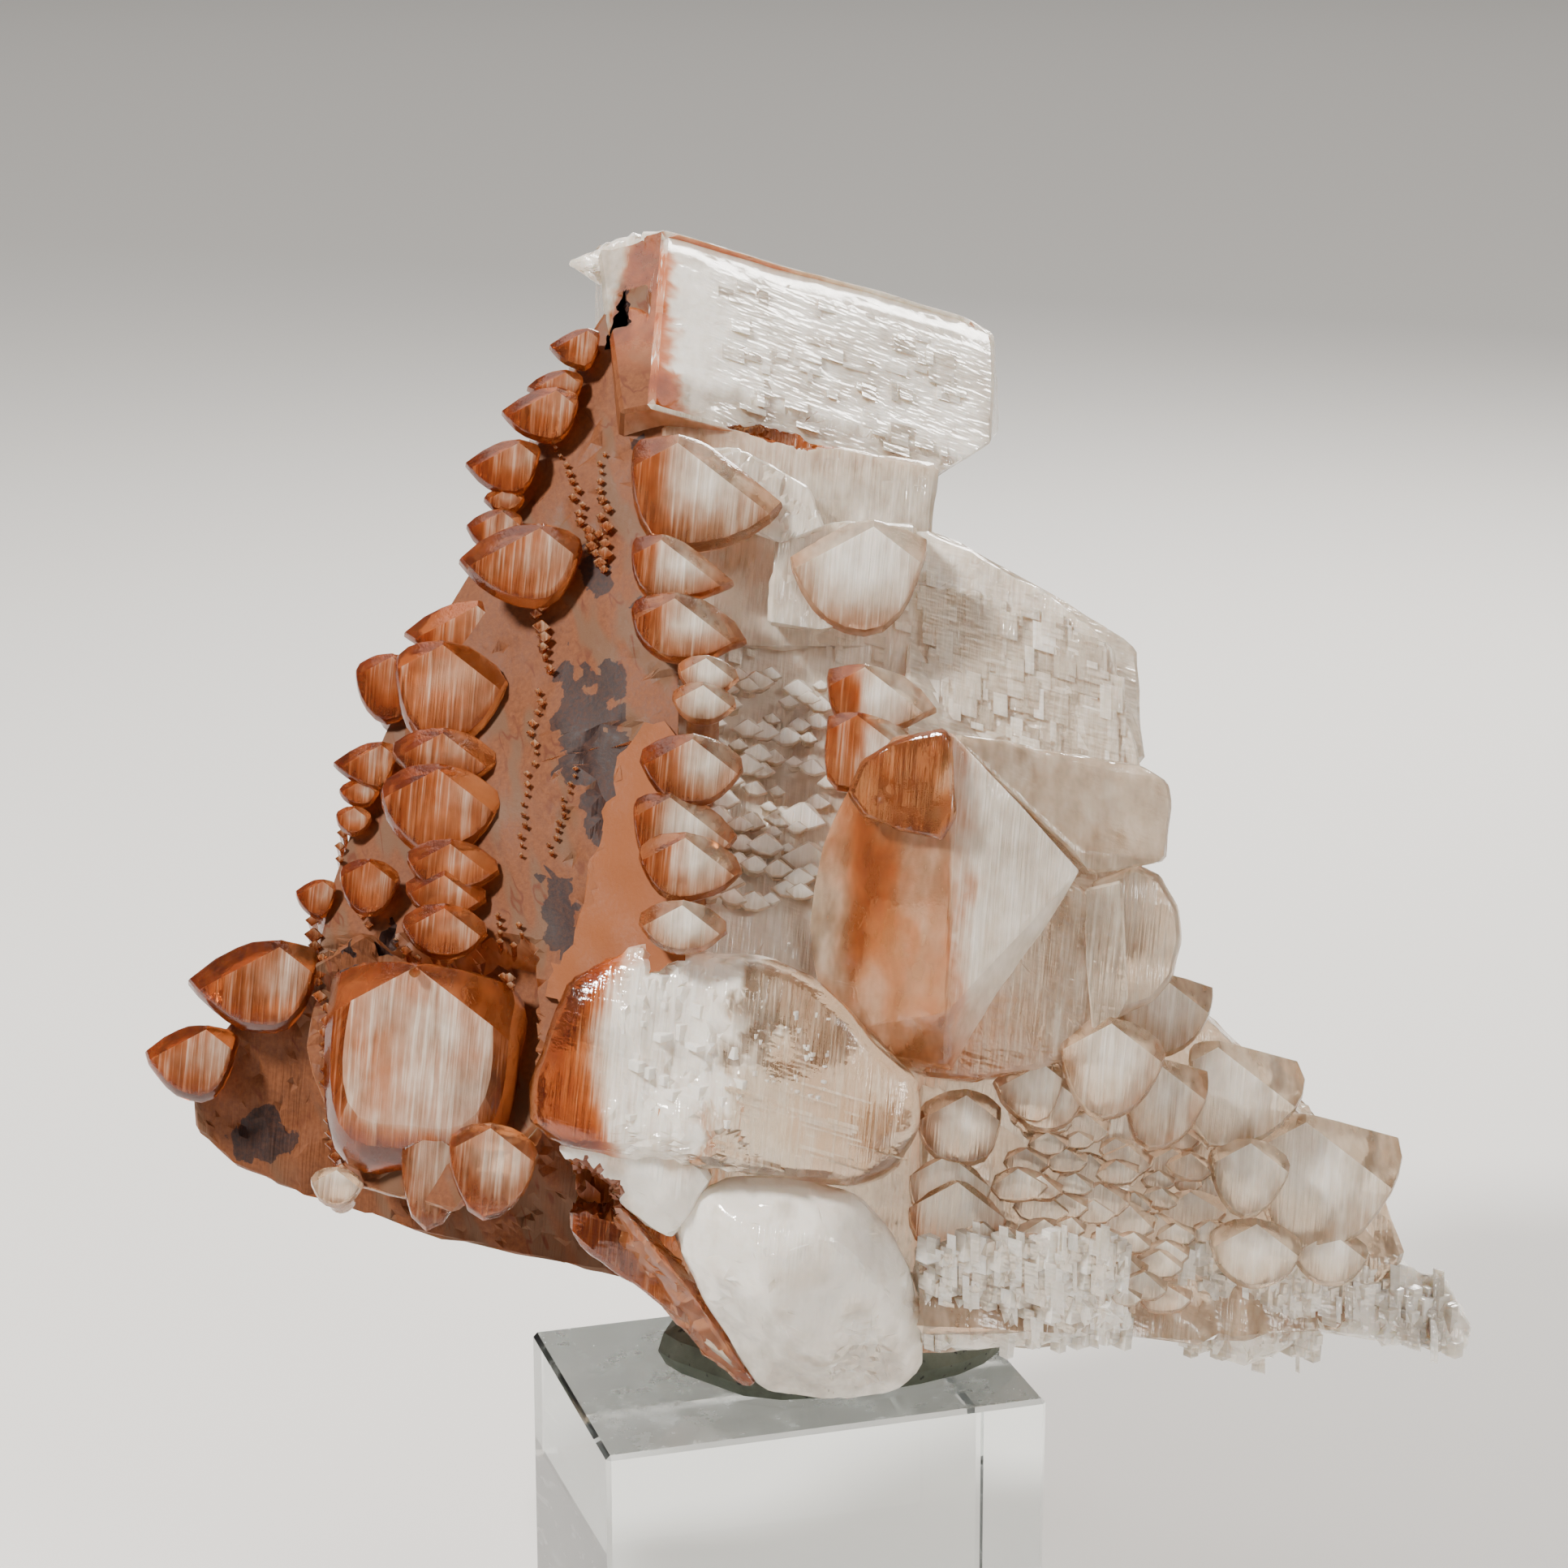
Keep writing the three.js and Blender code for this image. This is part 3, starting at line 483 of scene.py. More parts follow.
def top_block():
    crystal = Crystal(2.5)
    tip = spot(-7.9, 37.1, -15)
    shown = crystal.dipping(120, BLUNT_DIP)

    def below_top(right, up):
        return 37.1 - 0.305 * (right + 7.9) - up

    def tone(spots, normals):
        right, up, out = seen(spots)
        below = below_top(right, up)
        front = ease(normals @ shown, 0.86, 0.95)
        left = ease(-(normals @ RIGHT), 0.1, 0.3)
        feather = noise(spots, (1.2, 1.2, 0.3), 3) + 0.6 * noise(spots, (0.7, 0.7, 0.16), 4) - 0.3
        feather = np.maximum(feather, 0.15)
        border = 1 - ease(right + 8.3 - 0.9 * ease(below, 9, 11.5), 0.1, 0.4 + 2.4 * feather * ease(below, 0.6, 2))
        low = (1 - ease(12.6 - below, 0.1, 1.8 * feather)) * (1 - ease(right, 2, 6))
        stain = front * np.maximum(0.8 * border, 0.5 * low)
        fin_edge = -10.2 - 0.26 * (36 - up)
        grained = 0.72 + 0.25 * noise(spots, (0.6, 0.6, 3), 6)
        stain = np.maximum(stain, left * grained * ease(right - fin_edge + 0.5 * feather, -0.2, 0.5))
        # under: faces turned down on the left of the block are painted orange, painted shade under the block
        under = ease(-(normals @ UP), 0.3, 0.6) * (1 - front)
        stain = np.maximum(stain, under * 0.55 * (1 - ease(right, 0, 8)))
        strip = 1 - ease(below, 1.5, 1.7)
        cloud = noise(spots, 2.6, 9)
        veil = 0.95 - 0.45 * ease(below, 9.2, 10.4) - 0.25 * ease(cloud, 0.45, 0.75) * ease(right, -3, 0)
        veil = np.where(strip > 0.5, 0.75, veil)
        return shade(len(spots), hematite=0.03 + stain * 0.9, milk=veil * (1 - 0.6 * left),
                     cleaved=front * (1 - strip) * ease(right, -6, -2.5), wall=left * (1 - ease(up, 27, 31)))

    def relief(points, normals):
        right, up, out = seen(points)
        below = below_top(right, up)
        front = ease(normals @ shown, 0.86, 0.95)
        strip = np.clip(1.6 - 0.03 * (right + 8) - below, 0, 1.6)
        band = ease(below, 9.3, 9.6) * ease(right, -5, -3)
        return (0.3 * (noise(points, 3.5, 21) - 0.5) - 0.32 * strip * front - 0.3 * band * front
                + 0.12 * front * facets(points, (2.2, 1.2, 1.2), 22))

    block = cleave([
        plane(shown, tip),
        plane(crystal.dipping(-120, BLUNT_DIP), tip),
        plane(crystal.around(180), tip),
        plane(crystal.around(0), spot(-8.7, 24.5, -4.5)),
        plane(way(-1, -0.08, 0.1), spot(-12, 31, -14)),
        plane(way(-0.8, 0.6, 0), spot(-14.4, 34.8, -17)),
        plane(way(1, 0.02, 0.1), spot(14, 27, -22)),
        plane(way(0.5, 0.86, -0.1), spot(12.2, 31.6, -22)),
        plane(way(0.5, -0.86, -0.1), spot(12.4, 22.2, -21)),
        plane(way(0.1, -0.9, -0.45), spot(4, 19.6, -20)),
        plane(way(0, 0.3, -1), spot(0, 30, -30)),
    ], tone=tone, edge=0.3, longest=0.88, hidden=3, relief=relief)
    fin = lump(
        [[-7.9, 37.1, -15.2], [-10.4, 36.7, -15.6], [-14.5, 34.9, -17], [-14.2, 34.4, -17], [-12.2, 33.3, -17],
         [-10.4, 34.2, -15.2]],
        [[-7.5, 36, -19], [-13.4, 34.6, -19.5], [-11.5, 33.4, -19.5], [-8, 34, -19]],
        tone=even(hematite=0.04, milk=0.85), edge=0.2, longest=0.5,
        relief=lambda points, normals: 0.4 * facets(points, 0.9, 5),
    )
    face = plane(shown, tip)
    steps = steps_on(face, (-4.5, 12), (25.4, 34.0), 64, (0.3, 1.8), (0.2, 1.2), 0.16,
                     dict(hematite=0.02, milk=0.85, cleaved=0.9), slope=-0.26, tilt=0.12)
    return [block, fin, *steps]


def steps_on(face, rights, ups, count, widths, heights, rise, values, slope=0.0, tilt=0.0):
    """Thin cleavage steps on a face: their edges run upright and at the cleavage slant, and each tilts a little."""
    slant = math.tan(math.radians(STEP_SLANT))
    bodies = []
    for _ in range(count):
        right = dice.uniform(*rights)
        up = dice.uniform(*ups) + slope * (right - rights[0])
        wide = dice.uniform(*widths) * 0.5
        high = dice.uniform(*heights) * 0.5
        lift = dice.uniform(0.25, 1) * rise
        leaning = face[0] + dice.uniform(-tilt, tilt, 3)
        raised = plane(leaning / np.linalg.norm(leaning), over(face, right, up, 0) + face[0] * lift)
        outline = [(right - wide, up + high + wide * slant), (right + wide, up + high - wide * slant),
                   (right + wide, up - high - wide * slant), (right - wide, up - high + wide * slant)]
        milk = values["milk"] * dice.uniform(0.45, 1.15)
        bodies.append(slab(raised, outline, 1.2, shrink=1.05, tone=even(**{**values, "milk": milk})))
    return bodies


def upper_tier():
    def tone(spots, normals):
        right, up, out = seen(spots)
        cloud = noise(spots, 3, 32)
        warm = 0.1 * (1 - ease(right, -6, 2)) + 0.12 * ease(up, 19.5, 21.5)
        return shade(len(spots), hematite=0.04 + warm, milk=0.25 + 0.5 * cloud)

    def relief(points, normals):
        return 0.5 * (noise(points, 2.5, 31) - 0.5) + 0.15 * facets(points, 2.4, 33)

    broken = plane(way(0.1, 0.3, 0.95), spot(-1, 20, 0.6))
    return [
        slab(
            plane(way(0.15, 0.35, 0.92), spot(0, 18, -4)),
            [[-8.2, 24], [-4.7, 24], [5, 21.8], [10.2, 21.2], [9.9, 18.8], [9.4, 17], [9.2, 9], [-8, 9]],
            14, tone=tone, edge=0.25, longest=0.95, relief=relief,
        ),
        # a broken, glassy face beside the first head
        slab(broken, [[-5.9, 22.2], [-3.6, 22.6], [-0.9, 21.3], [1.8, 19.8], [2.7, 17.1], [-0.1, 16], [-4.4, 18]],
             7, tone=even(hematite=0.05, milk=0.6), edge=0.2, longest=0.55,
             relief=lambda points, normals: 0.45 * facets(points, (1.6, 1.6, 1.2), 34)),
        slab(plane(way(0.2, 0.25, 0.95), spot(4, 15, 0.5)),
             [[-0.6, 16.4], [3.4, 17.6], [8.9, 17.4], [9.1, 13.4], [6.2, 11.2], [2.4, 10.2], [-1.2, 10.6]],
             8, tone=even(hematite=0.06, milk=0.5), edge=0.3, longest=0.8,
             relief=lambda points, normals: 0.3 * facets(points, 1.8, 35)),
    ]


WALL_PATCHES = [(-13, 3, 2.6, 5.5), (-11.6, -2, 1.6, 4), (-15, -9, 1.2, 3.5), (-12.6, 14, 1.1, 1.8),
                (-9.5, 22.5, 0.8, 0.6), (-9.6, 12, 0.6, 0.6), (-34.5, -25, 1.6, 2.2), (-11.2, 6.5, 0.6, 2)]


def wall_tone(spots, normals):
    right, up, out = seen(spots)
    facing = ease(normals @ LEFT_WALL[0], 0.55, 0.8)
    dark = np.zeros(len(spots))
    wobble = noise(spots, 0.8, 41) - 0.5 + 0.6 * (noise(spots, 0.3, 42) - 0.5)
    for at_right, at_up, wide, high in WALL_PATCHES:
        away = np.hypot((right - at_right + 0.12 * (up - at_up)) / wide, (up - at_up) / high)
        dark = np.maximum(dark, 1 - ease(away + 0.9 * wobble, 0.75, 0.95))
    return shade(len(spots), hematite=0.5, milk=0.3, wall=facing, dark=dark * facing)


def wall_relief(points, normals):
    facing = ease(normals @ LEFT_WALL[0], 0.55, 0.8)
    right, up, out = seen(points)
    lean = np.stack([right + 0.22 * up, up * 0.25, out * 0.3], axis=-1)
    crease = np.abs(noise(lean, 1.6, 51) - 0.5)
    groove = (1 - ease(crease, 0, 0.05)) * ease(noise(lean, 3, 52), 0.4, 0.6)
    swell = 0.7 * (noise(points, 5, 53) - 0.5) + 0.15 * (noise(points, 1.6, 54) - 0.5)
    button = ease(-up, 10, 12) * ease(up, -25.5, -23) * ease(right, -31, -29) * (1 - ease(right, -17.5, -16.5))
    return swell - 2.6 * button * facing - facing * 0.3 * groove


def left_wall():
    return [
        slab(LEFT_WALL, [
            [-11.2, 33], [-9, 33.6], [-7, 14.4], [-7, -11], [-11.6, -14.6], [-16.4, -20], [-17.4, -24],
            [-22, -28.6], [-29.1, -26.8],
            [-32, -17.6], [-30.4, -7], [-28.4, -1.5], [-26.6, 3.6], [-19.8, 13.3], [-16.4, 19.8], [-13.3, 26.4],
            [-12, 30.7],
        ], 12, tone=wall_tone, longest=1.25, edge=0.3, relief=wall_relief),
        slab(LEFT_FOOT, [
            [-36.2, -15], [-39.6, -20.8], [-39.1, -23], [-36.7, -25.2], [-32, -27.3], [-28, -28.7],
            [-22, -29.8], [-17.1, -30.9], [-14.4, -32], [-9.5, -32.8], [-9, -26], [-12, -20], [-28, -10],
        ], 8, tone=foot_tone, longest=0.9, edge=0.3, relief=foot_relief),
    ]


def foot_tone(spots, normals):
    right, up, out = seen(spots)
    dark = 1 - ease(np.hypot((right + 35) / 2.6, (up + 23.4) / 2.2) + 0.8 * (noise(spots, 1, 44) - 0.5), 0.7, 1)
    brown = ease(noise(spots, (3, 3, 5), 45), 0.35, 0.65)
    return shade(len(spots), hematite=0.62 + 0.2 * brown, milk=0.25, wall=1, dark=0.9 * dark)


def foot_relief(points, normals):
    return 0.9 * (noise(points, (3, 3, 3), 55) - 0.5) + 0.5 * facets(points, 1.6, 56)


def tan_layer():
    """The thin, smooth tan layer low on the wall, with a broken left edge."""
    trail = [(-8.0, 4.2), (-9.0, 3.9), (-9.3, 2.6), (-10.1, 3.1), (-11.3, 1.4), (-11.0, -0.6), (-12.3, -1.6),
             (-12.1, -4.0), (-12.9, -5.2), (-12.6, -7.4), (-13.6, -8.6), (-13.9, -10.6), (-15.3, -12.2),
             (-15.6, -14.2), (-13.4, -15.6), (-9.0, -12.6), (-6.6, -11.8), (-6.7, -4.0), (-7.0, 3.0)]
    points = np.array(trail)
    ragged = []
    for first, second in zip(points, np.roll(points, -1, axis=0)):
        for share in (0, 0.25, 0.5, 0.75):
            place = first + (second - first) * share
            loose = 0.35 if first[0] < -8.6 else 0
            ragged.append(place + dice.uniform(-loose, loose, 2))
    bm = bmesh.new()
    rise = 0.75
    front = [bm.verts.new(over(LEFT_WALL, *corner, rise)) for corner in ragged]
    back = [bm.verts.new(over(LEFT_WALL, *corner, -1.5)) for corner in ragged]
    count = len(ragged)
    bm.faces.new(front)
    bm.faces.new(back[::-1])
    for k in range(count):
        bm.faces.new((front[k], back[k], back[(k + 1) % count], front[(k + 1) % count]))
    body = Body(*refine(*arrays(bm), 0.7), even(hematite=0.55, milk=0.4, wall=1, layer=1))
    return [body.lift(lambda places, normals: 0.22 * (noise(places, 2.2, 57) - 0.5))]


def riser_tone(spots, normals):
    right, up, out = seen(spots)
    cloud = noise(spots, 3.5, 61)
    return shade(len(spots), hematite=0.07 + 0.07 * cloud + 0.3 * (1 - ease(right, -8, -5)),
                 milk=0.45 + 0.45 * cloud, cleaved=0.25 + 0.6 * ease(right, 7, 9))


def back_block_tone(spots, normals):
    right, up, out = seen(spots)
    return shade(len(spots), hematite=0.06, milk=0.35 + 0.3 * noise(spots, 3, 62), cleaved=0.8)


def skirt_tone(spots, normals):
    right, up, out = seen(spots)
    warm = 0.75 * (1 - ease(right, -9, -4)) + 0.3 * (1 - ease(np.abs(right - 9.6), 0.3, 1.6))
    return shade(len(spots), hematite=np.clip(0.08 + warm, 0, 1), milk=0.3, cleaved=0.3)


def soft_relief(height, size, seed):
    return lambda points, normals: height * (noise(points, size, seed) - 0.5)


def back_relief(points, normals):
    return 0.4 * (noise(points, 3, 64) - 0.5) + 0.22 * facets(points, (1.2, 1.2, 2.4), 66)


def riser_relief(points, normals):
    return 0.7 * (noise(points, 2.6, 63) - 0.5) + 0.3 * facets(points, (1.6, 1.6, 1.2), 67)


def middle_mass():
    bodies = [
        slab(RISER, [
            [-8, 12], [8.5, 12], [9.4, 17.1], [12.1, 15.5], [17.6, 12.8], [22, 9], [24, 0], [24, -14], [9, -19],
            [-12, -19], [-8, 0],
        ], 20, tone=riser_tone, longest=1.4, edge=0.3, relief=riser_relief),
        slab(BLUNT_RIGHT, [
            [8.5, 16.8], [9.4, 17.2], [12.1, 15.6], [17.6, 12.9], [23.6, 9], [24, 1.6], [18, 0], [8, 3],
        ], 12, tone=back_block_tone, longest=1.6, edge=0.3, relief=back_relief),
        slab(SKIRT, [
            [-14, -14], [10, -12], [24, -14], [23, -36], [21, -37.4], [9.4, -37.8], [-3, -39], [-8, -35],
            [-9.5, -32.8], [-14.4, -30],
        ], 18, lean=(0, 2.6), tone=skirt_tone, longest=1.3, edge=0.3, relief=soft_relief(0.9, 1.8, 65)),
    ]
    bodies += steps_on(RISER, (10, 21), (5.4, 12.6), 44, (1.2, 4.0), (1.0, 4.0), 0.4,
                       dict(hematite=0.06, milk=0.5, cleaved=0.9), slope=-0.42, tilt=0.05)
    bodies += steps_on(RISER, (9.6, 22.4), (4, 14.4), 100, (0.3, 1.6), (0.4, 2.4), 0.55,
                       dict(hematite=0.06, milk=0.75, cleaved=0.9), slope=-0.42, tilt=0.1)
    bodies += steps_on(RISER, (-5, 8), (8.6, 14.6), 40, (0.4, 1.8), (0.3, 1.4), 0.4,
                       dict(hematite=0.07, milk=0.8, cleaved=0.6), tilt=0.15)
    return bodies


def broken_relief(points, normals):
    return 0.7 * facets(points, (0.8, 0.8, 2.0), 72) + 0.6 * (noise(points, 1.6, 73) - 0.5)


def right_slope():
    white = dict(hematite=0.02, milk=0.95, cleaved=1)
    bodies = [
        slab(RIGHT_SLOPE, [
            [22, -10], [28.8, -17.8], [34.7, -22.6], [40, -26.8], [41.2, -31.6], [37, -36.4], [28, -37.2],
            [23, -36], [9, -36.5], [9, -20],
        ], 14, lean=(0, 1.5), tone=even(hematite=0.14, milk=0.25, cleaved=0.4), longest=1.2, edge=0.3,
            relief=soft_relief(0.9, 1.6, 71)),
        slab(RIGHT_SLOPE, [
            [35.5, -31], [40.9, -31.9], [44.1, -33], [44.5, -34.8], [45.9, -36.2], [45.7, -37.6], [43.2, -37.5],
            [39, -36.4], [35.5, -36.6],
        ], 6, tone=even(**white), longest=0.6, edge=0.2, relief=broken_relief),
        lump(
            [[26, -31, 3], [27.2, -37, 1], [28.2, -37.6, 0.6], [30.4, -38.7, 0.5], [32, -38, 0.5], [36, -36.8, 0]],
            [[36, -31, 1.5], [28, -32, -6], [29.5, -37.6, -5], [35, -36, -6]],
            tone=even(**white), longest=0.6, edge=0.2, relief=broken_relief),
        lump(
            [[9, -31, 8], [13, -30.4, 9], [17, -30.6, 8.6], [22.6, -30.6, 7.4], [23.2, -36.4, 6], [17, -37.4, 6]],
            [[9, -37.6, 6.5], [9, -31, -2], [22, -31, -2], [22, -36, -3], [9, -37, -3]],
            tone=even(**white), longest=0.6, edge=0.2, relief=broken_relief),
    ]
    # broken calcite: upright splinters and small cleavage rhombs on the white masses
    for face, rights, ups, slope, splinters, rhombs in (
            (plane(way(0.12, -0.36, 0.93), spot(16, -33.5, 7.75)), (9.6, 22.8), (-37.2, -30.6), 0, 80, 130),
            (plane(way(0.15, -0.3, 0.94), spot(31, -34, 1.5)), (26.6, 35.6), (-37.6, -31), -0.1, 60, 90),
            (RIGHT_SLOPE, (36, 45), (-35.6, -31.8), -0.25, 34, 50)):
        bodies += steps_on(face, rights, ups, splinters, (0.25, 1.0), (0.8, 2.8), 0.4, white, slope=slope, tilt=0.16)
        for _ in range(rhombs):
            right = dice.uniform(*rights)
            up = dice.uniform(*ups) + slope * (right - rights[0])
            spans = dice.uniform(0.18, 0.5, 3) * (dice.uniform(1, 2.5), 1, 1)
            bodies.append(rhomb(over(face, right, up, dice.uniform(-0.4, 0)), spans,
                                tone=even(**{**white, "milk": dice.uniform(0.5, 1)})))
    return bodies


def low_crystals():
    big_face = plane(way(-0.06, 0.12, 0.99), spot(-4, -18, 12.6))

    def big_tone(spots, normals):
        right, up, out = seen(spots)
        cloud = noise(spots, 1.8, 81) - 0.5
        left_edge = -15.4 - 0.22 * (up + 18) * (up < -18) + 0.4 * (up + 18) * (up > -18)
        rust = 1 - ease(right - left_edge + 1.5 * cloud, 0.6, 4.6)
        rust = np.maximum(rust, 0.6 * (1 - ease(-(up + 11) + 0.12 * (right + 4) + cloud, 0.2, 1.5)) * (right < -8))
        ragged = facets(spots, (1.2, 1.2, 2.6), 88)
        white = ease(right, -14.5, -10.5) * (1 - ease(right - 0.25 * (up + 18) + 3 * cloud + 5 * ragged, -4.6, -2.4))
        brown = ease(right + cloud * 3, -2, 1)
        return shade(len(spots), hematite=0.07 + 0.85 * rust ** 1.5 + 0.14 * brown, milk=0.12 + 0.8 * white,
                     cleaved=0.2 + 0.3 * white)

    def big_relief(points, normals):
        right, up, out = seen(points)
        ragged = facets(points, (1.7, 1.7, 2.8), 82) + 0.5 * facets(points, (0.9, 0.9, 1.6), 83)
        middle = ease(right, -13, -9.5) * (1 - ease(right, -4, -1))
        return 0.9 * (noise(points, 3.2, 84) - 0.5) + 0.55 * ragged * middle

    def thumb_tone(spots, normals):
        right, up, out = seen(spots)
        edge = 1 - ease(right * 0.8 + up * 0.6 + 28.6 + 1.5 * (noise(spots, 1.2, 85) - 0.5), 0, 1.2)
        cloud = noise(spots, 2.2, 87)
        clear = ease(cloud, 0.5, 0.8) + 0.6 * ease(up, -36, -39)
        return shade(len(spots), hematite=0.02 + 0.6 * edge * (up > -30), milk=1.0 - 0.4 * np.clip(clear, 0, 1),
                     cleaved=0.1)

    def thumb_relief(points, normals):
        right, up, out = seen(points)
        scar = 1 - ease(np.hypot(right - 5.4, (up + 38) * 0.9), 1.6, 2.8)
        return (0.3 * (noise(points, 2.6, 86) - 0.5) + 0.3 * facets(points, 3.2, 91)
                + scar * (0.5 * facets(points, 0.6, 92) - 0.35))

    outline = np.array([
        [-14.4, -12.9], [-12.3, -11.8], [-8.5, -11], [-2.5, -11], [2.4, -13], [9.2, -19.4], [9.0, -23.5],
        [7.5, -25.8], [5, -27], [1, -26.4], [-8, -25.2], [-15, -24.2], [-17.4, -22.8], [-17.3, -19.8]])
    middle = outline.mean(0)
    big_rings = []
    for share, drop in ((0.7, 0), (0.87, 0.3), (0.96, 0.8), (1, 1.7), (0.9, 10)):
        ring = middle + (outline - middle) * share
        big_rings.append([[right, up, depth_on(big_face, right, up) - drop] for right, up in ring])

    bodies = [
        lump(*big_rings, tone=big_tone, longest=0.74, soft=2, relief=big_relief),
        # the neck of the white crystal, and its faceted end
        lump(
            [[-15.4, -24.2, 10.4], [-11.5, -23.6, 11.4], [-8.1, -24, 12], [-4.6, -26, 12.4], [-6.6, -29.4, 10.6]],
            [[-7.6, -30.6, 9], [-9.2, -29.4, 8.6], [-11.3, -27, 8.2], [-13, -25.1, 8.2], [-9, -26, 12]],
            [[-12, -24, 0], [-6, -25, 0], [-7, -30, 0], [-11, -27, 0]],
            tone=thumb_tone, longest=0.85, edge=0.4, soft=1, relief=soft_relief(0.5, 1.8, 89)),
        lump(
            [[-1.6, -31.4, 14], [3, -30.2, 14.4], [6.2, -33.2, 12.6], [6.2, -37.4, 10.2], [3.4, -38.6, 9.6],
             [0.6, -37.2, 10.8], [-1.2, -34.6, 12.8], [-4.2, -28.8, 12.6]],
            [[-5.8, -27.2, 10.6], [-3.5, -26.2, 11], [1, -26, 11.2], [5, -27.6, 10.8], [7.1, -29.7, 9.8]],
            [[8.6, -32.7, 8.4], [9.4, -36.4, 6.4], [9.2, -39.2, 4.6], [7.5, -40.7, 3.4], [2.9, -41.3, 2.6],
             [-1.6, -40.5, 3.2], [-3.5, -37.6, 5], [-5.2, -34.7, 7], [-6.8, -31.7, 8.6], [-6.8, -29.2, 9.6]],
            [[-8, -28, 0], [4, -28, -1], [7.5, -34, -2], [6, -38, -1.5], [0, -38, -1], [-5, -32, 0]],
            tone=thumb_tone, longest=0.85, edge=0.35, relief=thumb_relief),
        # orange rock along the lower left of the white crystal
        lump(
            [[-12.8, -26, 7.4], [-9.4, -30, 7.6], [-6.2, -34, 6.4], [-3.6, -38, 4.2], [-1.8, -40.3, 2.6]],
            [[-12.6, -28, 5], [-9.6, -33.2, 4], [-6.2, -37.4, 2.6], [-3, -40, 1], [-10, -28, -2], [-2, -36, -2]],
            tone=even(hematite=0.7, milk=0.3, wall=0.2), longest=0.8, edge=0.3,
            relief=lambda points, normals: 0.5 * facets(points, (0.9, 0.9, 1.6), 90)),
    ]
    # sparkling broken points in the middle of the big crystal
    for _ in range(46):
        right = dice.uniform(-11, -2.8)
        up = dice.uniform(-23.4, -12.8)
        bodies.append(rhomb(over(big_face, right, up, dice.uniform(-0.5, -0.05)), dice.uniform(0.12, 0.5, 3),
                            tone=even(hematite=0.02, milk=0.95, cleaved=0.3)))
    bodies += steps_on(big_face, (-4.5, 6.5), (-25.4, -20.6), 26, (1.2, 5.0), (0.08, 0.3), 0.16,
                       dict(hematite=0.15, milk=0.25))
    for _ in range(60):
        along = dice.uniform(0, 1)
        place = over(big_face, -3 + 6 * along, -13.4 - 6 * dice.uniform(0, 1) - 2 * along, dice.uniform(-0.1, 0.02))
        bodies.append(rhomb(place, dice.uniform(0.04, 0.14, 3), tone=even(hematite=0.06, milk=0.8)))
    return bodies


def centre_tone(spots, normals):
    right, up, out = seen(spots)
    cloud = noise(spots, (1.2, 1.2, 4), 91) - 0.5
    fleck = noise(spots, (0.5, 0.5, 1.6), 92) - 0.5
    left_side = 1 - ease(right - 11.1, -0.1, 0.3)
    rust = np.exp(-((right - 6.4 + 0.12 * (up + 8) + 2 * cloud) / 2.6) ** 2) * ease(up, -18, -10)
    peach = (0.34 + 0.16 * ease(-up, 7, 12)) * ease(right, 2.2, 5) * (1 + 0.6 * cloud)
    stain = left_side * np.maximum(0.72 * rust, peach)
    fade = 0.42 * (1 - ease(right - 11 + 2.4 * cloud + 1.4 * fleck, 0, 3.2)) * (up > -17)
    low = 0.5 * (1 - ease(up + 0.12 * (right - 10), -18.4, -11.0)) * (1 - ease(right, 8, 20))
    stain = np.maximum(np.maximum(stain, fade * (1 - left_side)), low)
    kite = (1 - left_side) * ease(up - 1.05 * (right - 11) + 21.5, 0, 0.4)
    return shade(len(spots), hematite=np.clip(0.09 + stain, 0, 1), milk=0.3 + 0.4 * kite)


def belly_tone(spots, normals):
    right, up, out = seen(spots)
    cloud = noise(spots, 1.6, 93) - 0.5
    warm = 0.4 * (1 - ease(right + 0.5 * (up + 16) + 3 * cloud, 9, 19)) + 0.17
    return shade(len(spots), hematite=np.clip(warm, 0, 1), milk=0.3 + 0.3 * cloud, cleaved=0.6)


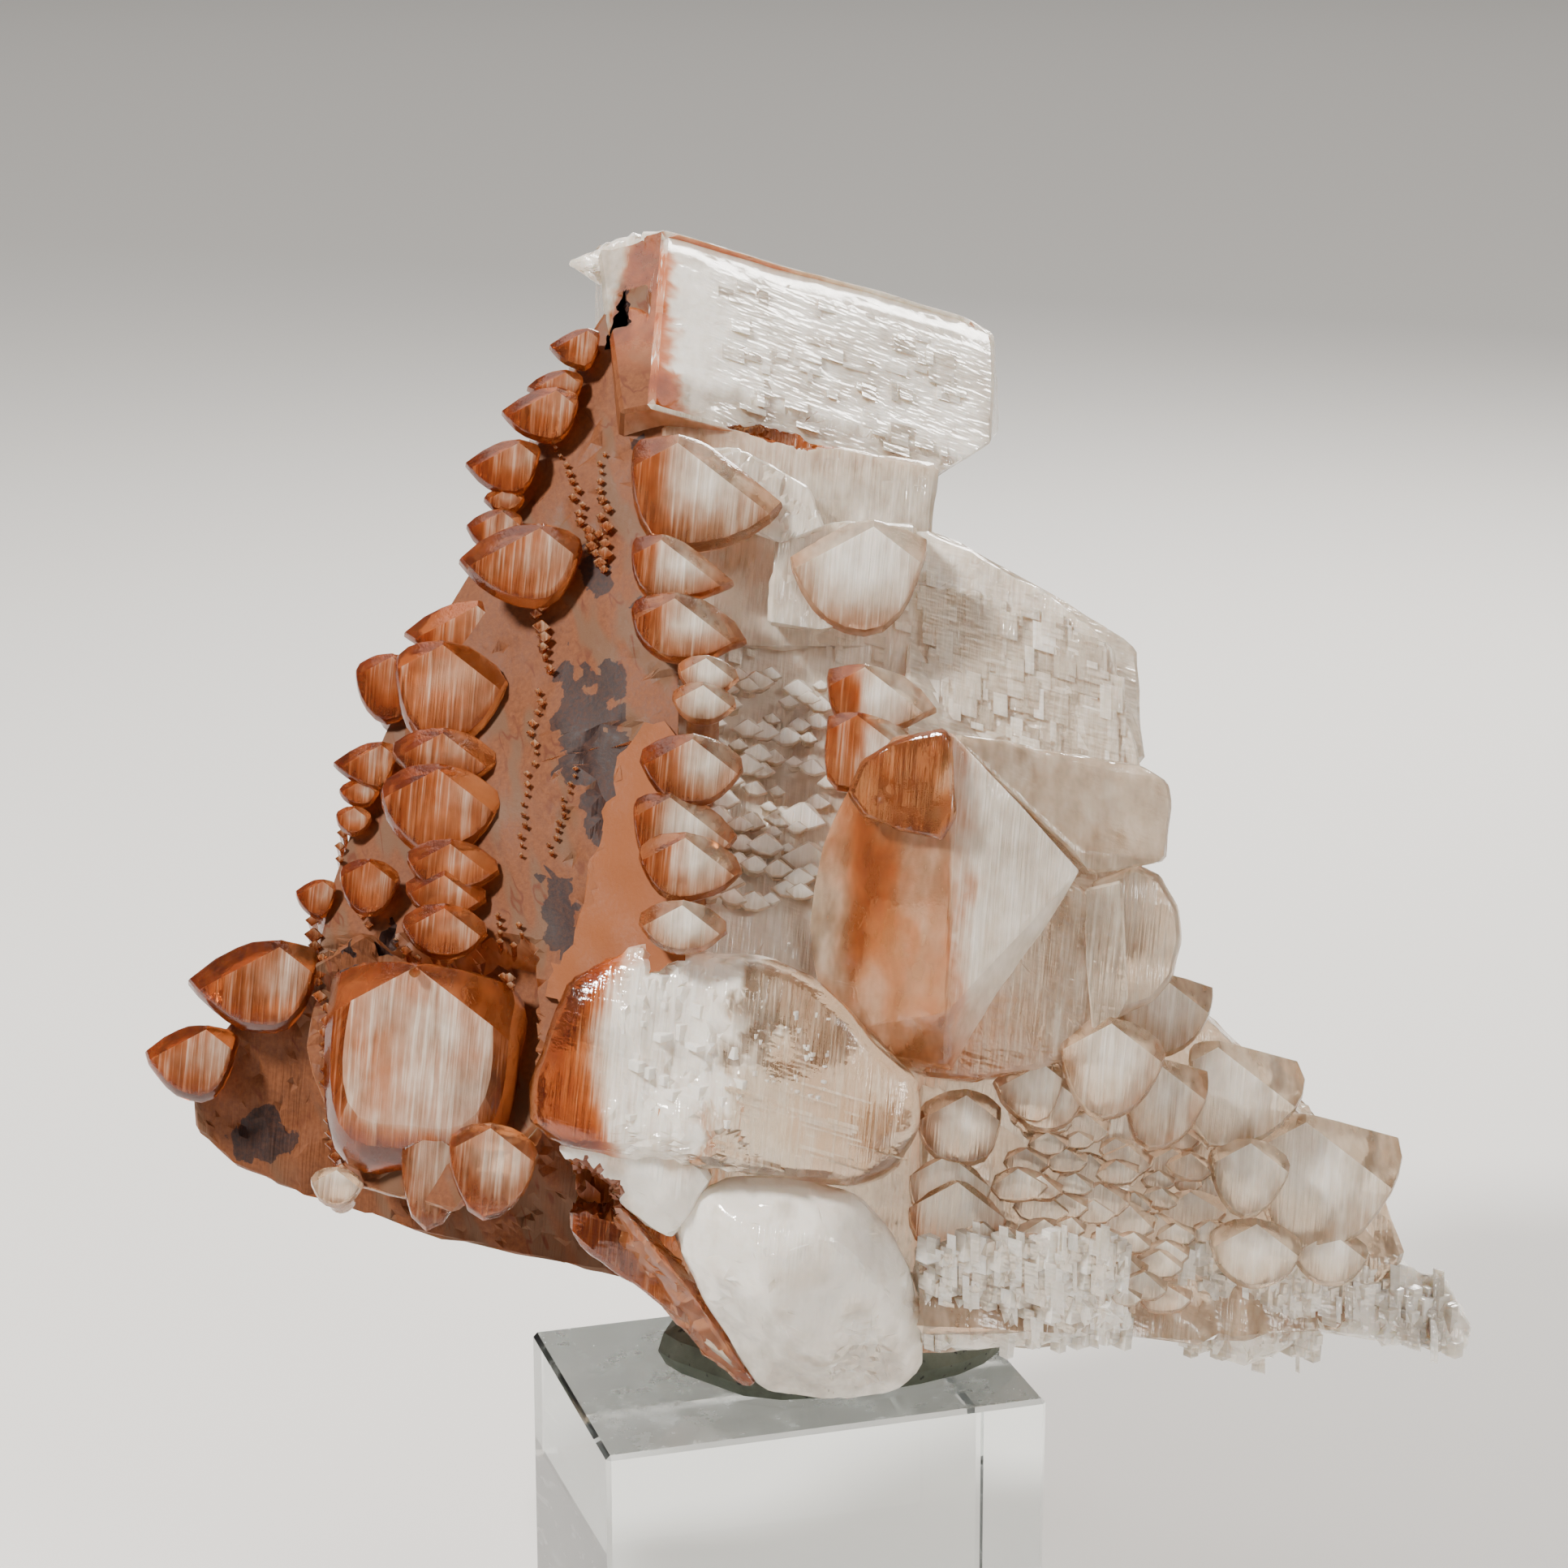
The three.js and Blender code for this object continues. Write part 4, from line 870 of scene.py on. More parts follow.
def centre_crystal():
    return [
        # the front crystal: an upright ridge parts its stained left side from a pale kite
        lump(
            [[11.2, 3.4, 12.6], [11.1, -5.8, 13.4], [10.8, -15.3, 13.9], [14, -11.3, 12.9], [16.6, -8.6, 12.2]],
            [[19.8, -5.8, 11.2], [15.5, -1.2, 12.0], [7.4, 3.2, 10.2], [4.8, 0.6, 8.8], [2.6, -4, 7.4]],
            [[1.6, -9.5, 7.0], [2.2, -13, 7.8], [4, -16.4, 9], [7.3, -18.2, 10.4], [10.8, -18.8, 11.4]],
            [[4.4, -17.4, 7.4], [7.6, -19, 8.2], [11.6, -19.5, 8.8]],
            [[10, 3, -4], [5, 0, -6], [3, -12, -6], [8, -17.6, -5], [14, -12, -6], [19, -6, -6]],
            tone=centre_tone, longest=0.95, edge=0.15, relief=soft_relief(0.25, 2, 97)),
        # its belly, set back
        lump(
            [[10.4, -11, 11.6], [14, -9.6, 11.6], [19.5, -6.4, 10.2], [21.8, -9.4, 9.2], [22, -15.4, 8.6]],
            [[20.8, -17.4, 9], [17, -18.9, 9.8], [12, -19.7, 10.4], [9.4, -19.5, 9.8]],
            [[20.4, -18, 7], [17.4, -19.4, 7.4], [12, -20, 8], [9, -19.6, 7.4]],
            [[9, -9, -4], [8, -17.6, -5], [19, -17, -6], [21, -8, -6]],
            tone=belly_tone, longest=1.0, edge=0.3,
            relief=lambda points, normals: 0.2 * facets(points, (1.6, 1.6, 1), 98)),
        # the clear wing behind it on the right
        lump(
            [[11.3, 3.3, 11.6], [19.5, -4.5, 10.8], [23.7, 1.4, 5], [25.7, 0.1, 5], [25.9, -1.3, 5.6]],
            [[25.5, -5.1, 7.4], [20.6, -6, 10.2], [11, 2.8, -6], [23.4, 0.8, -6], [24.8, -4.6, -6], [18, -6, -6]],
            tone=even(hematite=0.12, milk=0.36, cleaved=0.2), longest=0.8, edge=0.3,
            relief=soft_relief(0.4, 2.4, 99)),
        slab(plane(way(0.15, 0.1, 0.98), spot(23, -10, 7)), [
            [20.5, -6.5], [23.5, -5.3], [25.2, -6.1], [26.3, -8.3], [26.5, -10.5], [26, -13], [24.6, -14.6],
            [22.2, -15.7], [20.5, -11.6],
        ], 12, rim=0.5, tone=even(hematite=0.14, milk=0.4), longest=0.8, edge=0.2,
            relief=soft_relief(0.3, 1.6, 100)),
        # an upright shaft between belly and lobe
        slab(plane(way(0.2, 0, 0.98), spot(21.6, -10, 9.6)), [
            [20, -7], [22.6, -6.4], [23, -14.4], [22.4, -15.6], [20.6, -16.8], [20.2, -12],
        ], 8, tone=even(hematite=0.09, milk=0.35, cleaved=0.5), longest=0.6, edge=0.2),
        # the overlapping rusty plate on its left side
        slab(plane(way(-0.4, 0.1, 0.91), spot(11.2, 0, 14)), [
            [7.2, 2.9], [10.8, 3.8], [11.3, 3.2], [11.5, -2.1], [10.6, -3.9], [7.6, -3.2], [5.2, -2.2],
            [4.2, -0.7], [5.2, 1.6],
        ], 5, rim=0.35, shrink=0.8, tone=plate_tone, longest=0.45, edge=0.2,
            relief=soft_relief(0.25, 1.2, 101)),
    ]


def plate_tone(spots, normals):
    right, up, out = seen(spots)
    lip = 1 - ease(up + 3.4 - 0.03 * (right - 7) ** 2, 0, 0.7)
    fade = ease(right + 3 * (noise(spots, (0.6, 0.6, 3), 102) - 0.5), 10.6, 12)
    return shade(len(spots), hematite=0.88 + 0.1 * lip - 0.35 * fade * (1 - lip), milk=0.1)


# Heads

def column_heads():
    return [
        # beside the left wall, its right column from the top
        head(over(RISER, -7.1, 22.8, 9), 3, 8.5, 6, length=13, band=0.8, right_wing=0.3, tint=RUSTY),
        head(over(LEFT_WALL, -8.2, 16.3, 6.5), 1.9, 6, 3.3, right_wing=0.3, tint=RUSTY),
        head(over(LEFT_WALL, -7.3, 12.4, 5.5), 2.8, 5.6, 3.4, tint=RUSTY),
        head(over(LEFT_WALL, -5.2, 8.4, 3.5), 1.8, 2.4, 2, tint=PEACH),
        head(over(LEFT_WALL, -5.4, 6.6, 3.5), 2, 2.4, 2, tint=PEACH),
        head(over(LEFT_WALL, -6.1, 3, 4.5), 3.4, 3.5, 3.6, tint=RUSTY),
        head(over(LEFT_WALL, -7.6, -0.9, 4), 2.3, 4.6, 4.6, tint=RUSTY),
        head(over(LEFT_WALL, -6.6, -3.6, 3.4), 2.9, 4, 3.4, tint=RUSTY),
        head(over(LEFT_WALL, -6.8, -8.1, 3.5), 2.8, 3.2, 2.5, tint=PEACH),
        # the upper tier's striated head
        head(over(RISER, 6, 17.2, 7), 5.6, 3.6, 6.2, length=13, left_wing=0.3, right_wing=1.2,
             tint=dict(left=0.1, right=0.04, rim=0.4, milk=0.5, turn=(-1, 0), face=0.5)),
        # left column from the top
        head(over(LEFT_WALL, -13.1, 30.3, 3), 2.8, 0.8, 2.2),
        head(over(LEFT_WALL, -14.6, 27.5, 2.6), 3, 1.2, 1.7),
        head(over(LEFT_WALL, -15.2, 26.3, 3.6), 4, 1.5, 3),
        head(over(LEFT_WALL, -17.7, 22.8, 3.6), 3.9, 1.4, 3.1),
        head(over(LEFT_WALL, -18.5, 19.7, 2.4), 1.7, 1.2, 1.3),
        head(over(LEFT_WALL, -18.8, 18.2, 2.6), 2.6, 1.4, 2.4),
        head(over(LEFT_WALL, -16.3, 17.1, 5), 5.8, 2.9, 4.5, length=12, bevel=0.5),
        head(over(LEFT_WALL, -20.5, 11.9, 0.6), 5.6, 2, 3.4),
        head(over(LEFT_WALL, -26.2, 8.5, 3.4), 2.5, 2.4, 3.9),
        head(over(LEFT_WALL, -22.8, 9.3, 5), 3.2, 4.7, 5.8, length=13, band=0.8, bevel=0.5),
        head(over(LEFT_WALL, -22.8, 3.4, 4), 3.5, 4, 3),
        head(over(LEFT_WALL, -26.9, 2.6, 3.2), 3.6, 1, 2.5),
        head(over(LEFT_WALL, -28.2, 0.2, 2.6), 1.6, 1.2, 1.4),
        head(over(LEFT_WALL, -28.7, -1.6, 2.2), 1.3, 1.2, 1.5),
        head(over(LEFT_WALL, -23.1, 1, 4.8), 3.9, 4.5, 4.9, length=12, band=0.7, bevel=0.4),
        head(over(LEFT_WALL, -22.3, -4, 4), 3, 3.5, 2.7),
        head(over(LEFT_WALL, -22.7, -6.1, 3.6), 2.7, 3, 2.3),
        head(over(LEFT_WALL, -22.7, -8.3, 4), 2.8, 3.1, 2.8),
        head(over(LEFT_WALL, -27.7, -5.2, 4), 2, 2.1, 3.1),
        head(over(LEFT_WALL, -30.8, -6.5, 2), 1.9, 0.8, 2.1),
        head(over(LEFT_WALL, -24.6, -12.2, 7.6), 5.6, 7.2, 11.2, length=18, band=1.4, bevel=1.9, crest=0.16,
             left_wing=0.66, right_wing=0.62, corners=60, waver=0.06, square=4,
             tint=dict(left=0.82, right=0.66, rim=0.98, milk=0.4, turn=(-0.6, 0.5), face=0.42)),
        head(over(LEFT_WALL, -33.7, -10.9, 4), 6.9, 2.6, 4.9, length=11, band=0.7, bevel=0.4),
        head(over(LEFT_WALL, -38.6, -16.4, 4), 4.4, 2, 4.1, length=8, bevel=0.4),
        head(over(LEFT_WALL, -19.6, -23, 2.4), 2.6, 3.2, 5,
             tint=dict(left=0.5, right=0.4, rim=0.7, milk=0.2, turn=(-0.5, 0.5), face=0.2)),
        head(over(LEFT_WALL, -23.4, -23.4, 1.6), 2, 2.4, 5.4,
             tint=dict(left=0.5, right=0.36, rim=0.6, milk=0.2, turn=(-0.5, 0.5), face=0.2)),
    ]


def bead_rows():
    """Tiny heads strung down the wall and the lower left."""
    bodies = []
    rows = (
        # first place, last place, count, first size, last size
        ((-15.0, 22.6), (-12.2, 14.6), 16, 0.35, 0.75),
        ((-12.0, 22.2), (-12.1, 15.8), 12, 0.3, 0.9),
        ((-16.4, 12.4), (-15.8, 8.0), 7, 1.1, 0.5),
        ((-16.4, 6.4), (-17.6, -4.6), 17, 0.55, 0.3),
        ((-14.0, 1.2), (-15.8, -4.4), 12, 0.3, 0.35),
        ((-19.2, -8.6), (-18.0, -13.2), 9, 0.4, 0.75),
        ((-17.4, -9.2), (-18.6, -12.6), 6, 0.35, 0.6),
        ((-31.4, -8.0), (-29.8, -25.4), 22, 0.9, 0.9),
        ((-30.2, -17.6), (-27.8, -24.8), 9, 0.6, 0.7),
        ((-29.4, 0.6), (-29.8, -4.8), 7, 0.7, 0.5),
        ((-28.4, -8.6), (-24.6, -11.4), 6, 0.6, 0.6),
    )
    for first, last, count, small, large in rows:
        for k in range(count):
            share = k / (count - 1)
            size = 0.62 * (small + (large - small) * share) * dice.uniform(0.7, 1.3)
            right = first[0] + (last[0] - first[0]) * share + dice.uniform(-0.3, 0.3)
            up = first[1] + (last[1] - first[1]) * share
            bodies.append(head(over(LEFT_WALL, right, up, 0.35 + size), size, size * 1.1, size * 1.2,
                               length=3, corners=6, ledges=0, band=0.15 * size, crest=0.1, left_wing=0.2,
                               right_wing=0.2,
                               tint=dict(left=0.72, right=0.45, rim=0.8, milk=0.2, turn=(-0.5, 0.5), face=0.3)))
    clear_end = head(over(LEFT_WALL, -29.9, -25.8, 2.6), 1.7, 1.8, 2.0, length=5, corners=24,
                     tint=dict(left=0.15, right=0.08, rim=0.3, milk=0.3, turn=(-0.5, 0.5), face=0.6))
    return bodies + [clear_end]


def right_heads():
    return [
        head(spot(5.4, 7.8, 6.4), 2.4, 5.6, 3.6, length=12, right_wing=0.4, crest=0.1,
             tint=dict(left=0.85, right=0.04, rim=0.3, milk=0.4, turn=(-0.2, 0.12), face=0.1)),
        head(spot(4.9, 4.6, 7.4), 1.9, 6, 4.2, length=12, right_wing=0.4, crest=0.1, square=4,
             tint=dict(left=0.85, right=0.04, rim=0.3, milk=0.4, turn=(0.0, 0.3), face=0.1)),
        head(spot(25.4, -13, 5), 3, 3.4, 4.4, right_wing=1.4, tint=PALE),
        head(spot(29, -17.6, 5), 1.7, 6.2, 5.9, length=11, right_wing=1.6, left_wing=0.3, tint=PALE),
        head(spot(34.9, -22.6, 3), 3, 7, 7.6, length=12, right_wing=1.6, tint=PALE),
        head(spot(21.9, -16, 10), 3.2, 3.8, 5.4, length=12, tint=BEIGE),
        head(spot(24.9, -18.6, 8.6), 2, 3.6, 5, length=11, right_wing=1, tint=BEIGE),
        head(spot(17.3, -18.7, 9.4), 3.2, 1.4, 3.4, tint=BEIGE),
        head(spot(31.2, -24, 5.6), 2.6, 2.8, 4.2, tint=PALE),
        head(spot(12.2, -20.8, 8.2), 3.0, 2.4, 3.8, crest=0.2, square=3,
             tint=dict(BEIGE, left=0.4, face=0.1, turn=(-1, -0.2))),
        head(spot(11.0, -24.8, 8.0), 2.4, 3, 3.8, crest=0.06, left_wing=0.12, right_wing=0.16, square=3,
             tint=dict(BEIGE, left=0.3)),
        head(spot(11.6, -26.6, 8.4), 3, 3.6, 4.0, crest=0.06, left_wing=0.12, right_wing=0.16, square=3,
             tint=dict(BEIGE, rim=0.5)),
        head(spot(17.8, -19.6, 9.2), 2.8, 2.4, 3.0, crest=0.1, tint=BEIGE),
        head(spot(31.6, -29.4, 4.4), 3, 3.4, 3.6, tint=PALE),
        head(spot(36.6, -30, 3), 2.6, 2.8, 3, tint=PALE),
    ]


def scales():
    """The lower right: overlapping scale-like heads in slanting rows."""
    bodies = []
    rows, columns = 10, 9
    for row in range(rows):
        for column in range(columns):
            right = 12.8 + column * 1.95 + (row % 2) * 1.0 + dice.uniform(-0.6, 0.6)
            up = -20.8 - row * 1.45 - column * 0.35 + dice.uniform(-0.45, 0.45)
            beyond = right > 30 + 0.5 * (up + 30) or up < -34 or (right > 26 and up < -29.5)
            beyond = beyond or (right < 22.5 and up < -30.4)
            hidden = right < 15.5 and up > -29
            if beyond or hidden:
                continue
            size = dice.uniform(0.9, 2.0) * (1.25 if dice.uniform() < 0.25 else 1)
            rise = 2.9 + dice.uniform(-0.5, 0.7) - 0.05 * (right - 12)
            warm = 0.08 + dice.uniform(0, 0.12)
            bodies.append(head(over(RIGHT_SLOPE, right, up, rise), size, size * 1.1, size * 0.95, length=6,
                               corners=15, ledges=1, crest=0.1, left_wing=0.3, right_wing=0.5, band=0.3,
                               square=3, roll=dice.uniform(-8, 8),
                               tint=dict(left=warm + 0.06, right=warm, rim=warm + 0.05, milk=0.4,
                                         turn=(-0.5, 0.5), face=0.7)))
    return bodies


def small_points():
    """Small pointed crystals, closely set in rows beside the right column."""
    bodies = []
    rows, columns = 13, 6
    for row in range(rows):
        for column in range(columns):
            right = -4.6 + column * 1.35 + (row % 2) * 0.6 + dice.uniform(-0.35, 0.35)
            up = 8.4 - row * 1.25 - column * 0.3 + dice.uniform(-0.35, 0.35)
            if dice.uniform() < 0.2:
                continue
            size = dice.uniform(0.55, 1.25) * (1.5 if dice.uniform() < 0.15 else 1)
            bodies.append(head(over(RISER, right, up, 1.9 - 0.12 * column + dice.uniform(-0.3, 0.5)), size,
                               size * 1.1, size * 0.95, length=4, corners=9, ledges=0, crest=0.06,
                               left_wing=0.14, right_wing=0.6, roll=dice.uniform(-8, 8), square=4, band=0.2,
                               tint=dict(PALE, milk=dice.uniform(0.6, 1.1))))
    return bodies


def far_side():
    places = (
        ((3, 13, -18), (4, 5, 6)), ((-10, 8, -16), (5, 5, 6)), ((3, 2, -17), (6, 6, 5)), ((14, 1, -14), (5, 5, 5)),
        ((-19, -7, -15), (5, 6, 5)), ((-4, -12, -14), (6, 5, 6)), ((13, -14, -13), (5, 6, 6)),
        ((27, -25, -8), (4, 5, 5)), ((-27, -20, -10), (4, 5, 4)),
    )
    bodies = []
    for place, spans in places:
        rusty = 0.12 + 0.5 * float(ease(-place[0], 0, 22))
        bodies.append(rhomb(spot(*place), spans, tone=even(hematite=rusty, milk=0.55, cleaved=0.7), edge=0.2,
                            longest=2.8, relief=soft_relief(0.5, 2.6, 95)))
    return bodies


def pits():
    """Ragged hollows, and the rusty gap under the top block."""
    def ragged(height, size, seed):
        return lambda points, normals: height * facets(points, size, seed)

    # inside: the walls of the hollows are painted near black, painted shade in the recesses over hematite orange
    inside = even(hematite=0.9, milk=0.2, wall=1, dark=0.75)
    rusty = even(hematite=0.85, milk=0.3, wall=0.6, dark=0.2)
    return [
        lump([[-10.5, 33.6, -10], [-12, 29, -10], [-10.1, 28.8, -10]],
             [[-10.7, 32.8, -18.5], [-11.5, 29.4, -18.5], [-10.6, 29.4, -18.5]],
             tone=inside, cuts=True, longest=0.6, hidden=1, relief=ragged(0.5, 0.7, 110)),
        lump([[-27.6, -8.8, 6], [-25.8, -8.4, 6], [-25.3, -11.8, 6], [-27.6, -12.6, 6]],
             [[-27.4, -9.2, -2], [-26.2, -9, -2], [-26, -11, -2], [-27, -11.4, -2]],
             tone=inside, cuts=True, longest=0.7, hidden=1, relief=ragged(1.0, 1.1, 111)),
        lump([[-30.6, -9.2, 6], [-28.8, -8.6, 6], [-27.9, -12, 6], [-29.8, -12.6, 6]],
             [[-30, -9.8, -2], [-29, -9.6, -2], [-28.8, -11.4, -2], [-29.6, -11.6, -2]],
             tone=inside, cuts=True, longest=0.7, hidden=1, relief=ragged(0.9, 1.0, 112)),
        lump([[-16.2, -25.4, 12], [-13.2, -24.8, 12], [-10.8, -26.8, 12], [-10.4, -29.4, 12], [-15.4, -29, 12]],
             [[-15.2, -26, 1.5], [-12.8, -25.8, 1.5], [-11.4, -27, 1.5], [-11.4, -28.4, 1.5], [-14.8, -28.2, 1.5]],
             tone=rusty, cuts=True, longest=0.7, hidden=1, relief=ragged(1.3, 1.2, 113)),
        lump([[-4.5, 24, 4], [-1.7, 24.3, 4], [1.8, 23.5, 4], [4.6, 22.7, 4], [3.7, 21.9, 4], [1, 22, 4],
              [-1.4, 22.7, 4], [-3.3, 23.4, 4]],
             [[-3.6, 23.8, -8.4], [-1.6, 23.9, -8.4], [1.6, 23.1, -8.4], [3.8, 22.6, -8.4], [1, 22.4, -8.4]],
             tone=even(hematite=0.7, milk=0.4), cuts=True, longest=0.6, hidden=1,
             relief=ragged(0.4, 0.9, 114)),
    ]


# Joining

def to_mesh(name, points, triangles):
    mesh = bpy.data.meshes.new(name)
    mesh.from_pydata((np.asarray(points) * MM).tolist(), [], np.asarray(triangles).tolist())
    return mesh


def to_object(name, body):
    mesh = to_mesh(name, body.points, body.triangles)
    values = body.shades()
    for attribute, columns in (("tone", (0, 1, 2)), ("coat", (3, 4, 5))):
        layer = mesh.attributes.new(attribute, "FLOAT_COLOR", "CORNER")
        colours = np.ones((len(values), 4), np.float32)
        colours[:, :3] = values[:, columns]
        layer.data.foreach_set("color", colours.ravel())
    return bpy.data.objects.new(name, mesh)


def joined(name, bodies):
    """All bodies in one closed mesh, with the cutting ones taken out of it."""
    adding = bpy.data.collections.new("adding")
    cutting = bpy.data.collections.new("cutting")
    base = None
    for index, body in enumerate(bodies):
        item = to_object(f"{name}_{index}", body)
        if base is None:
            base = item
        else:
            (cutting if body.cuts else adding).objects.link(item)
    scene_objects = bpy.context.scene.collection
    scene_objects.objects.link(base)
    for collection in (adding, cutting):
        scene_objects.children.link(collection)
    for collection, operation in ((adding, "UNION"), (cutting, "DIFFERENCE")):
        if len(collection.objects) == 0:
            continue
        modifier = base.modifiers.new(operation, "BOOLEAN")
        modifier.operation = operation
        modifier.solver = "MANIFOLD"
        modifier.operand_type = "COLLECTION"
        modifier.collection = collection
    bpy.context.view_layer.update()
    mesh = bpy.data.meshes.new_from_object(base.evaluated_get(bpy.context.evaluated_depsgraph_get()))
    mesh.name = name
    for item in [base, *adding.objects, *cutting.objects]:
        bpy.data.meshes.remove(item.data)
    for collection in (adding, cutting):
        bpy.data.collections.remove(collection)
    return mesh


def largest_shell(mesh):
    """Leaves the largest connected part of a mesh, so that no closed void stays inside."""
    bm = bmesh.new()
    bm.from_mesh(mesh)
    unseen = set(bm.verts)
    shells = []
    while unseen:
        stack = [unseen.pop()]
        shell = list(stack)
        while stack:
            for edge in stack.pop().link_edges:
                for vert in edge.verts:
                    if vert in unseen:
                        unseen.remove(vert)
                        stack.append(vert)
                        shell.append(vert)
        shells.append(shell)
    shells.sort(key=len, reverse=True)
    for shell in shells[1:]:
        bmesh.ops.delete(bm, geom=shell, context="VERTS")
    bmesh.ops.dissolve_degenerate(bm, dist=1e-6, edges=bm.edges)
    bmesh.ops.triangulate(bm, faces=[face for face in bm.faces if len(face.verts) > 3])
    bm.to_mesh(mesh)
    bm.free()
    return len(shells)


# Materials

def material(name):
    made = bpy.data.materials.new(name)
    made.use_nodes = True
    tree = made.node_tree
    shader = tree.nodes["Principled BSDF"]

    def node(kind, _inputs=(), **settings):
        item = tree.nodes.new(kind)
        for key, value in settings.items():
            setattr(item, key, value)
        for socket, value in dict(_inputs).items():
            if isinstance(value, bpy.types.NodeSocket):
                tree.links.new(value, item.inputs[socket])
            else:
                item.inputs[socket].default_value = value
        return item

    def math_of(operation, first, second=0.0, clamp=False):
        return node("ShaderNodeMath", {0: first, 1: second}, operation=operation, use_clamp=clamp).outputs[0]

    def span(value, low, high, to_low=0.0, to_high=1.0):
        item = node("ShaderNodeMapRange", {0: value, 1: low, 2: high, 3: to_low, 4: to_high},
                    interpolation_type="SMOOTHSTEP")
        return item.outputs[0]

    def mix(factor, first, second):
        item = node("ShaderNodeMix", {0: factor, 6: first, 7: second}, data_type="RGBA")
        return item.outputs[2]

    return made, tree, shader, node, math_of, span, mix


def ramp(node, value, stops):
    item = node("ShaderNodeValToRGB", {0: value})
    while len(item.color_ramp.elements) < len(stops):
        item.color_ramp.elements.new(0.5)
    for element, (position, colour) in zip(item.color_ramp.elements, stops):
        element.position = position
        element.color = (*colour, 1)
    return item.outputs[0]


def calcite_material():
    made, tree, shader, node, math_of, span, mix = material("calcite_hematite")
    places = node("ShaderNodeTexCoord").outputs["Object"]
    # millimetres right, up and out
    upright = node("ShaderNodeMapping", {"Vector": places, "Rotation": (math.radians(VIEW_DOWN - 90), 0, 0),
                                         "Scale": (1000, 1000, 1000)}).outputs[0]
    rolled = node("ShaderNodeMapping", {"Vector": upright, "Rotation": (0, 0, math.radians(CRYSTAL_ROLL))}).outputs[0]
    slanted = node("ShaderNodeMapping", {"Vector": upright, "Rotation": (0, 0, math.radians(STEP_SLANT))}).outputs[0]
    tone = node("ShaderNodeSeparateColor", {0: node("ShaderNodeAttribute", attribute_name="tone").outputs["Color"]})
    coat = node("ShaderNodeSeparateColor", {0: node("ShaderNodeAttribute", attribute_name="coat").outputs["Color"]})
    hematite, milk, wall = tone.outputs
    cleaved, layer, dark = coat.outputs
    normal = node("ShaderNodeNewGeometry").outputs["Normal"]
    facing = node("ShaderNodeVectorMath", {0: normal, 1: tuple(OUT)}, operation="DOT_PRODUCT").outputs["Value"]
    front = span(facing, 0.82, 0.97)

    def stretched(vector, scale, detail, size=1.0, rough=0.6):
        moved = node("ShaderNodeMapping", {"Vector": vector, "Scale": scale}).outputs[0]
        return node("ShaderNodeTexNoise", {"Vector": moved, "Scale": size, "Detail": detail, "Roughness": rough}).outputs[0]

    fine = stretched(rolled, (4.4, 0.16, 0.4), 2)
    broad = stretched(rolled, (1.1, 0.1, 0.3), 1)
    lines = stretched(slanted, (0.6, 2.6, 1.4), 1)
    clouds = stretched(upright, (0.28, 0.28, 0.28), 2)
    grain = stretched(upright, (3, 3, 3), 2, rough=0.7)

    streaks = math_of("ADD", math_of("MULTIPLY", fine, 0.6), math_of("MULTIPLY", broad, 0.4))
    # painted highlight: glints along the striations of faces turned to the viewer
    painted_streak_glint = math_of("MULTIPLY", span(streaks, 0.46, 0.66), front)
    # hematite lies in clouds; on faces turned to the viewer it thins and whitens along the striations, a painted
    # glint of the light on them
    uneven = math_of("MULTIPLY", math_of("SUBTRACT", clouds, 0.5), 0.5)
    stained = math_of("ADD", hematite, math_of("MULTIPLY", uneven, span(hematite, 0.04, 0.4)), clamp=True)
    stained = math_of("MULTIPLY", stained, math_of("SUBTRACT", 1.0, math_of("MULTIPLY", painted_streak_glint, 0.36)), clamp=True)
    crystal_colour = ramp(node, stained, (
        (0.0, (0.78, 0.67, 0.53)), (0.12, (0.72, 0.52, 0.33)), (0.3, (0.64, 0.32, 0.14)),
        (0.55, (0.55, 0.17, 0.043)), (0.8, (0.42, 0.088, 0.015)), (1.0, (0.24, 0.035, 0.007))))
    veils = stretched(rolled, (0.9, 0.4, 0.5), 2)
    veil = math_of("ADD", milk, math_of("MULTIPLY", math_of("SUBTRACT", veils, 0.5), 0.7), clamp=True)
    # the painted glints also make the striations milkier
    veil = math_of("ADD", veil, math_of("MULTIPLY", painted_streak_glint, 0.18), clamp=True)
    whiter = math_of("MULTIPLY", veil, math_of("SUBTRACT", 1.0, span(stained, 0.05, 0.75)), clamp=True)
    crystal_colour = mix(math_of("MULTIPLY", whiter, 0.85), crystal_colour, (0.91, 0.865, 0.80, 1))

    leaning = node("ShaderNodeMapping", {"Vector": upright, "Rotation": (0, 0, math.radians(-22))}).outputs[0]
    ridges = stretched(leaning, (0.62, 0.13, 0.3), 2, rough=0.55)
    ridge = math_of("ABSOLUTE", math_of("SUBTRACT", ridges, 0.5))
    crack = math_of("MULTIPLY", span(ridge, 0.03, 0.004), span(clouds, 0.5, 0.6))
    wall_colour = ramp(node, grain, (
        (0.25, (0.125, 0.042, 0.017)), (0.5, (0.165, 0.056, 0.022)), (0.75, (0.2, 0.072, 0.03))))
    bands = stretched(leaning, (0.5, 0.05, 0.3), 1)
    wall_colour = mix(span(bands, 0.5, 0.64), wall_colour, (0.14, 0.068, 0.036, 1))
    wall_colour = mix(layer, wall_colour, (0.24, 0.074, 0.023, 1))
    wall_colour = mix(math_of("MULTIPLY", crack, math_of("SUBTRACT", 1.0, layer), clamp=True), wall_colour,
                      (0.12, 0.036, 0.016, 1))
    # dark carries the wall's own dark patches and the painted shade inside the hollows; both come out as near-black
    # speckle
    patchy = math_of("ADD", dark, math_of("MULTIPLY", math_of("SUBTRACT", grain, 0.5), 0.7))
    speckle = math_of("MULTIPLY", span(patchy, 0.4, 0.52), span(grain, 0.3, 0.7, 1.0, 0.8))
    wall_colour = mix(speckle, wall_colour, (0.03, 0.018, 0.017, 1))
    colour = mix(wall, crystal_colour, wall_colour)
    tree.links.new(colour, shader.inputs["Base Color"])

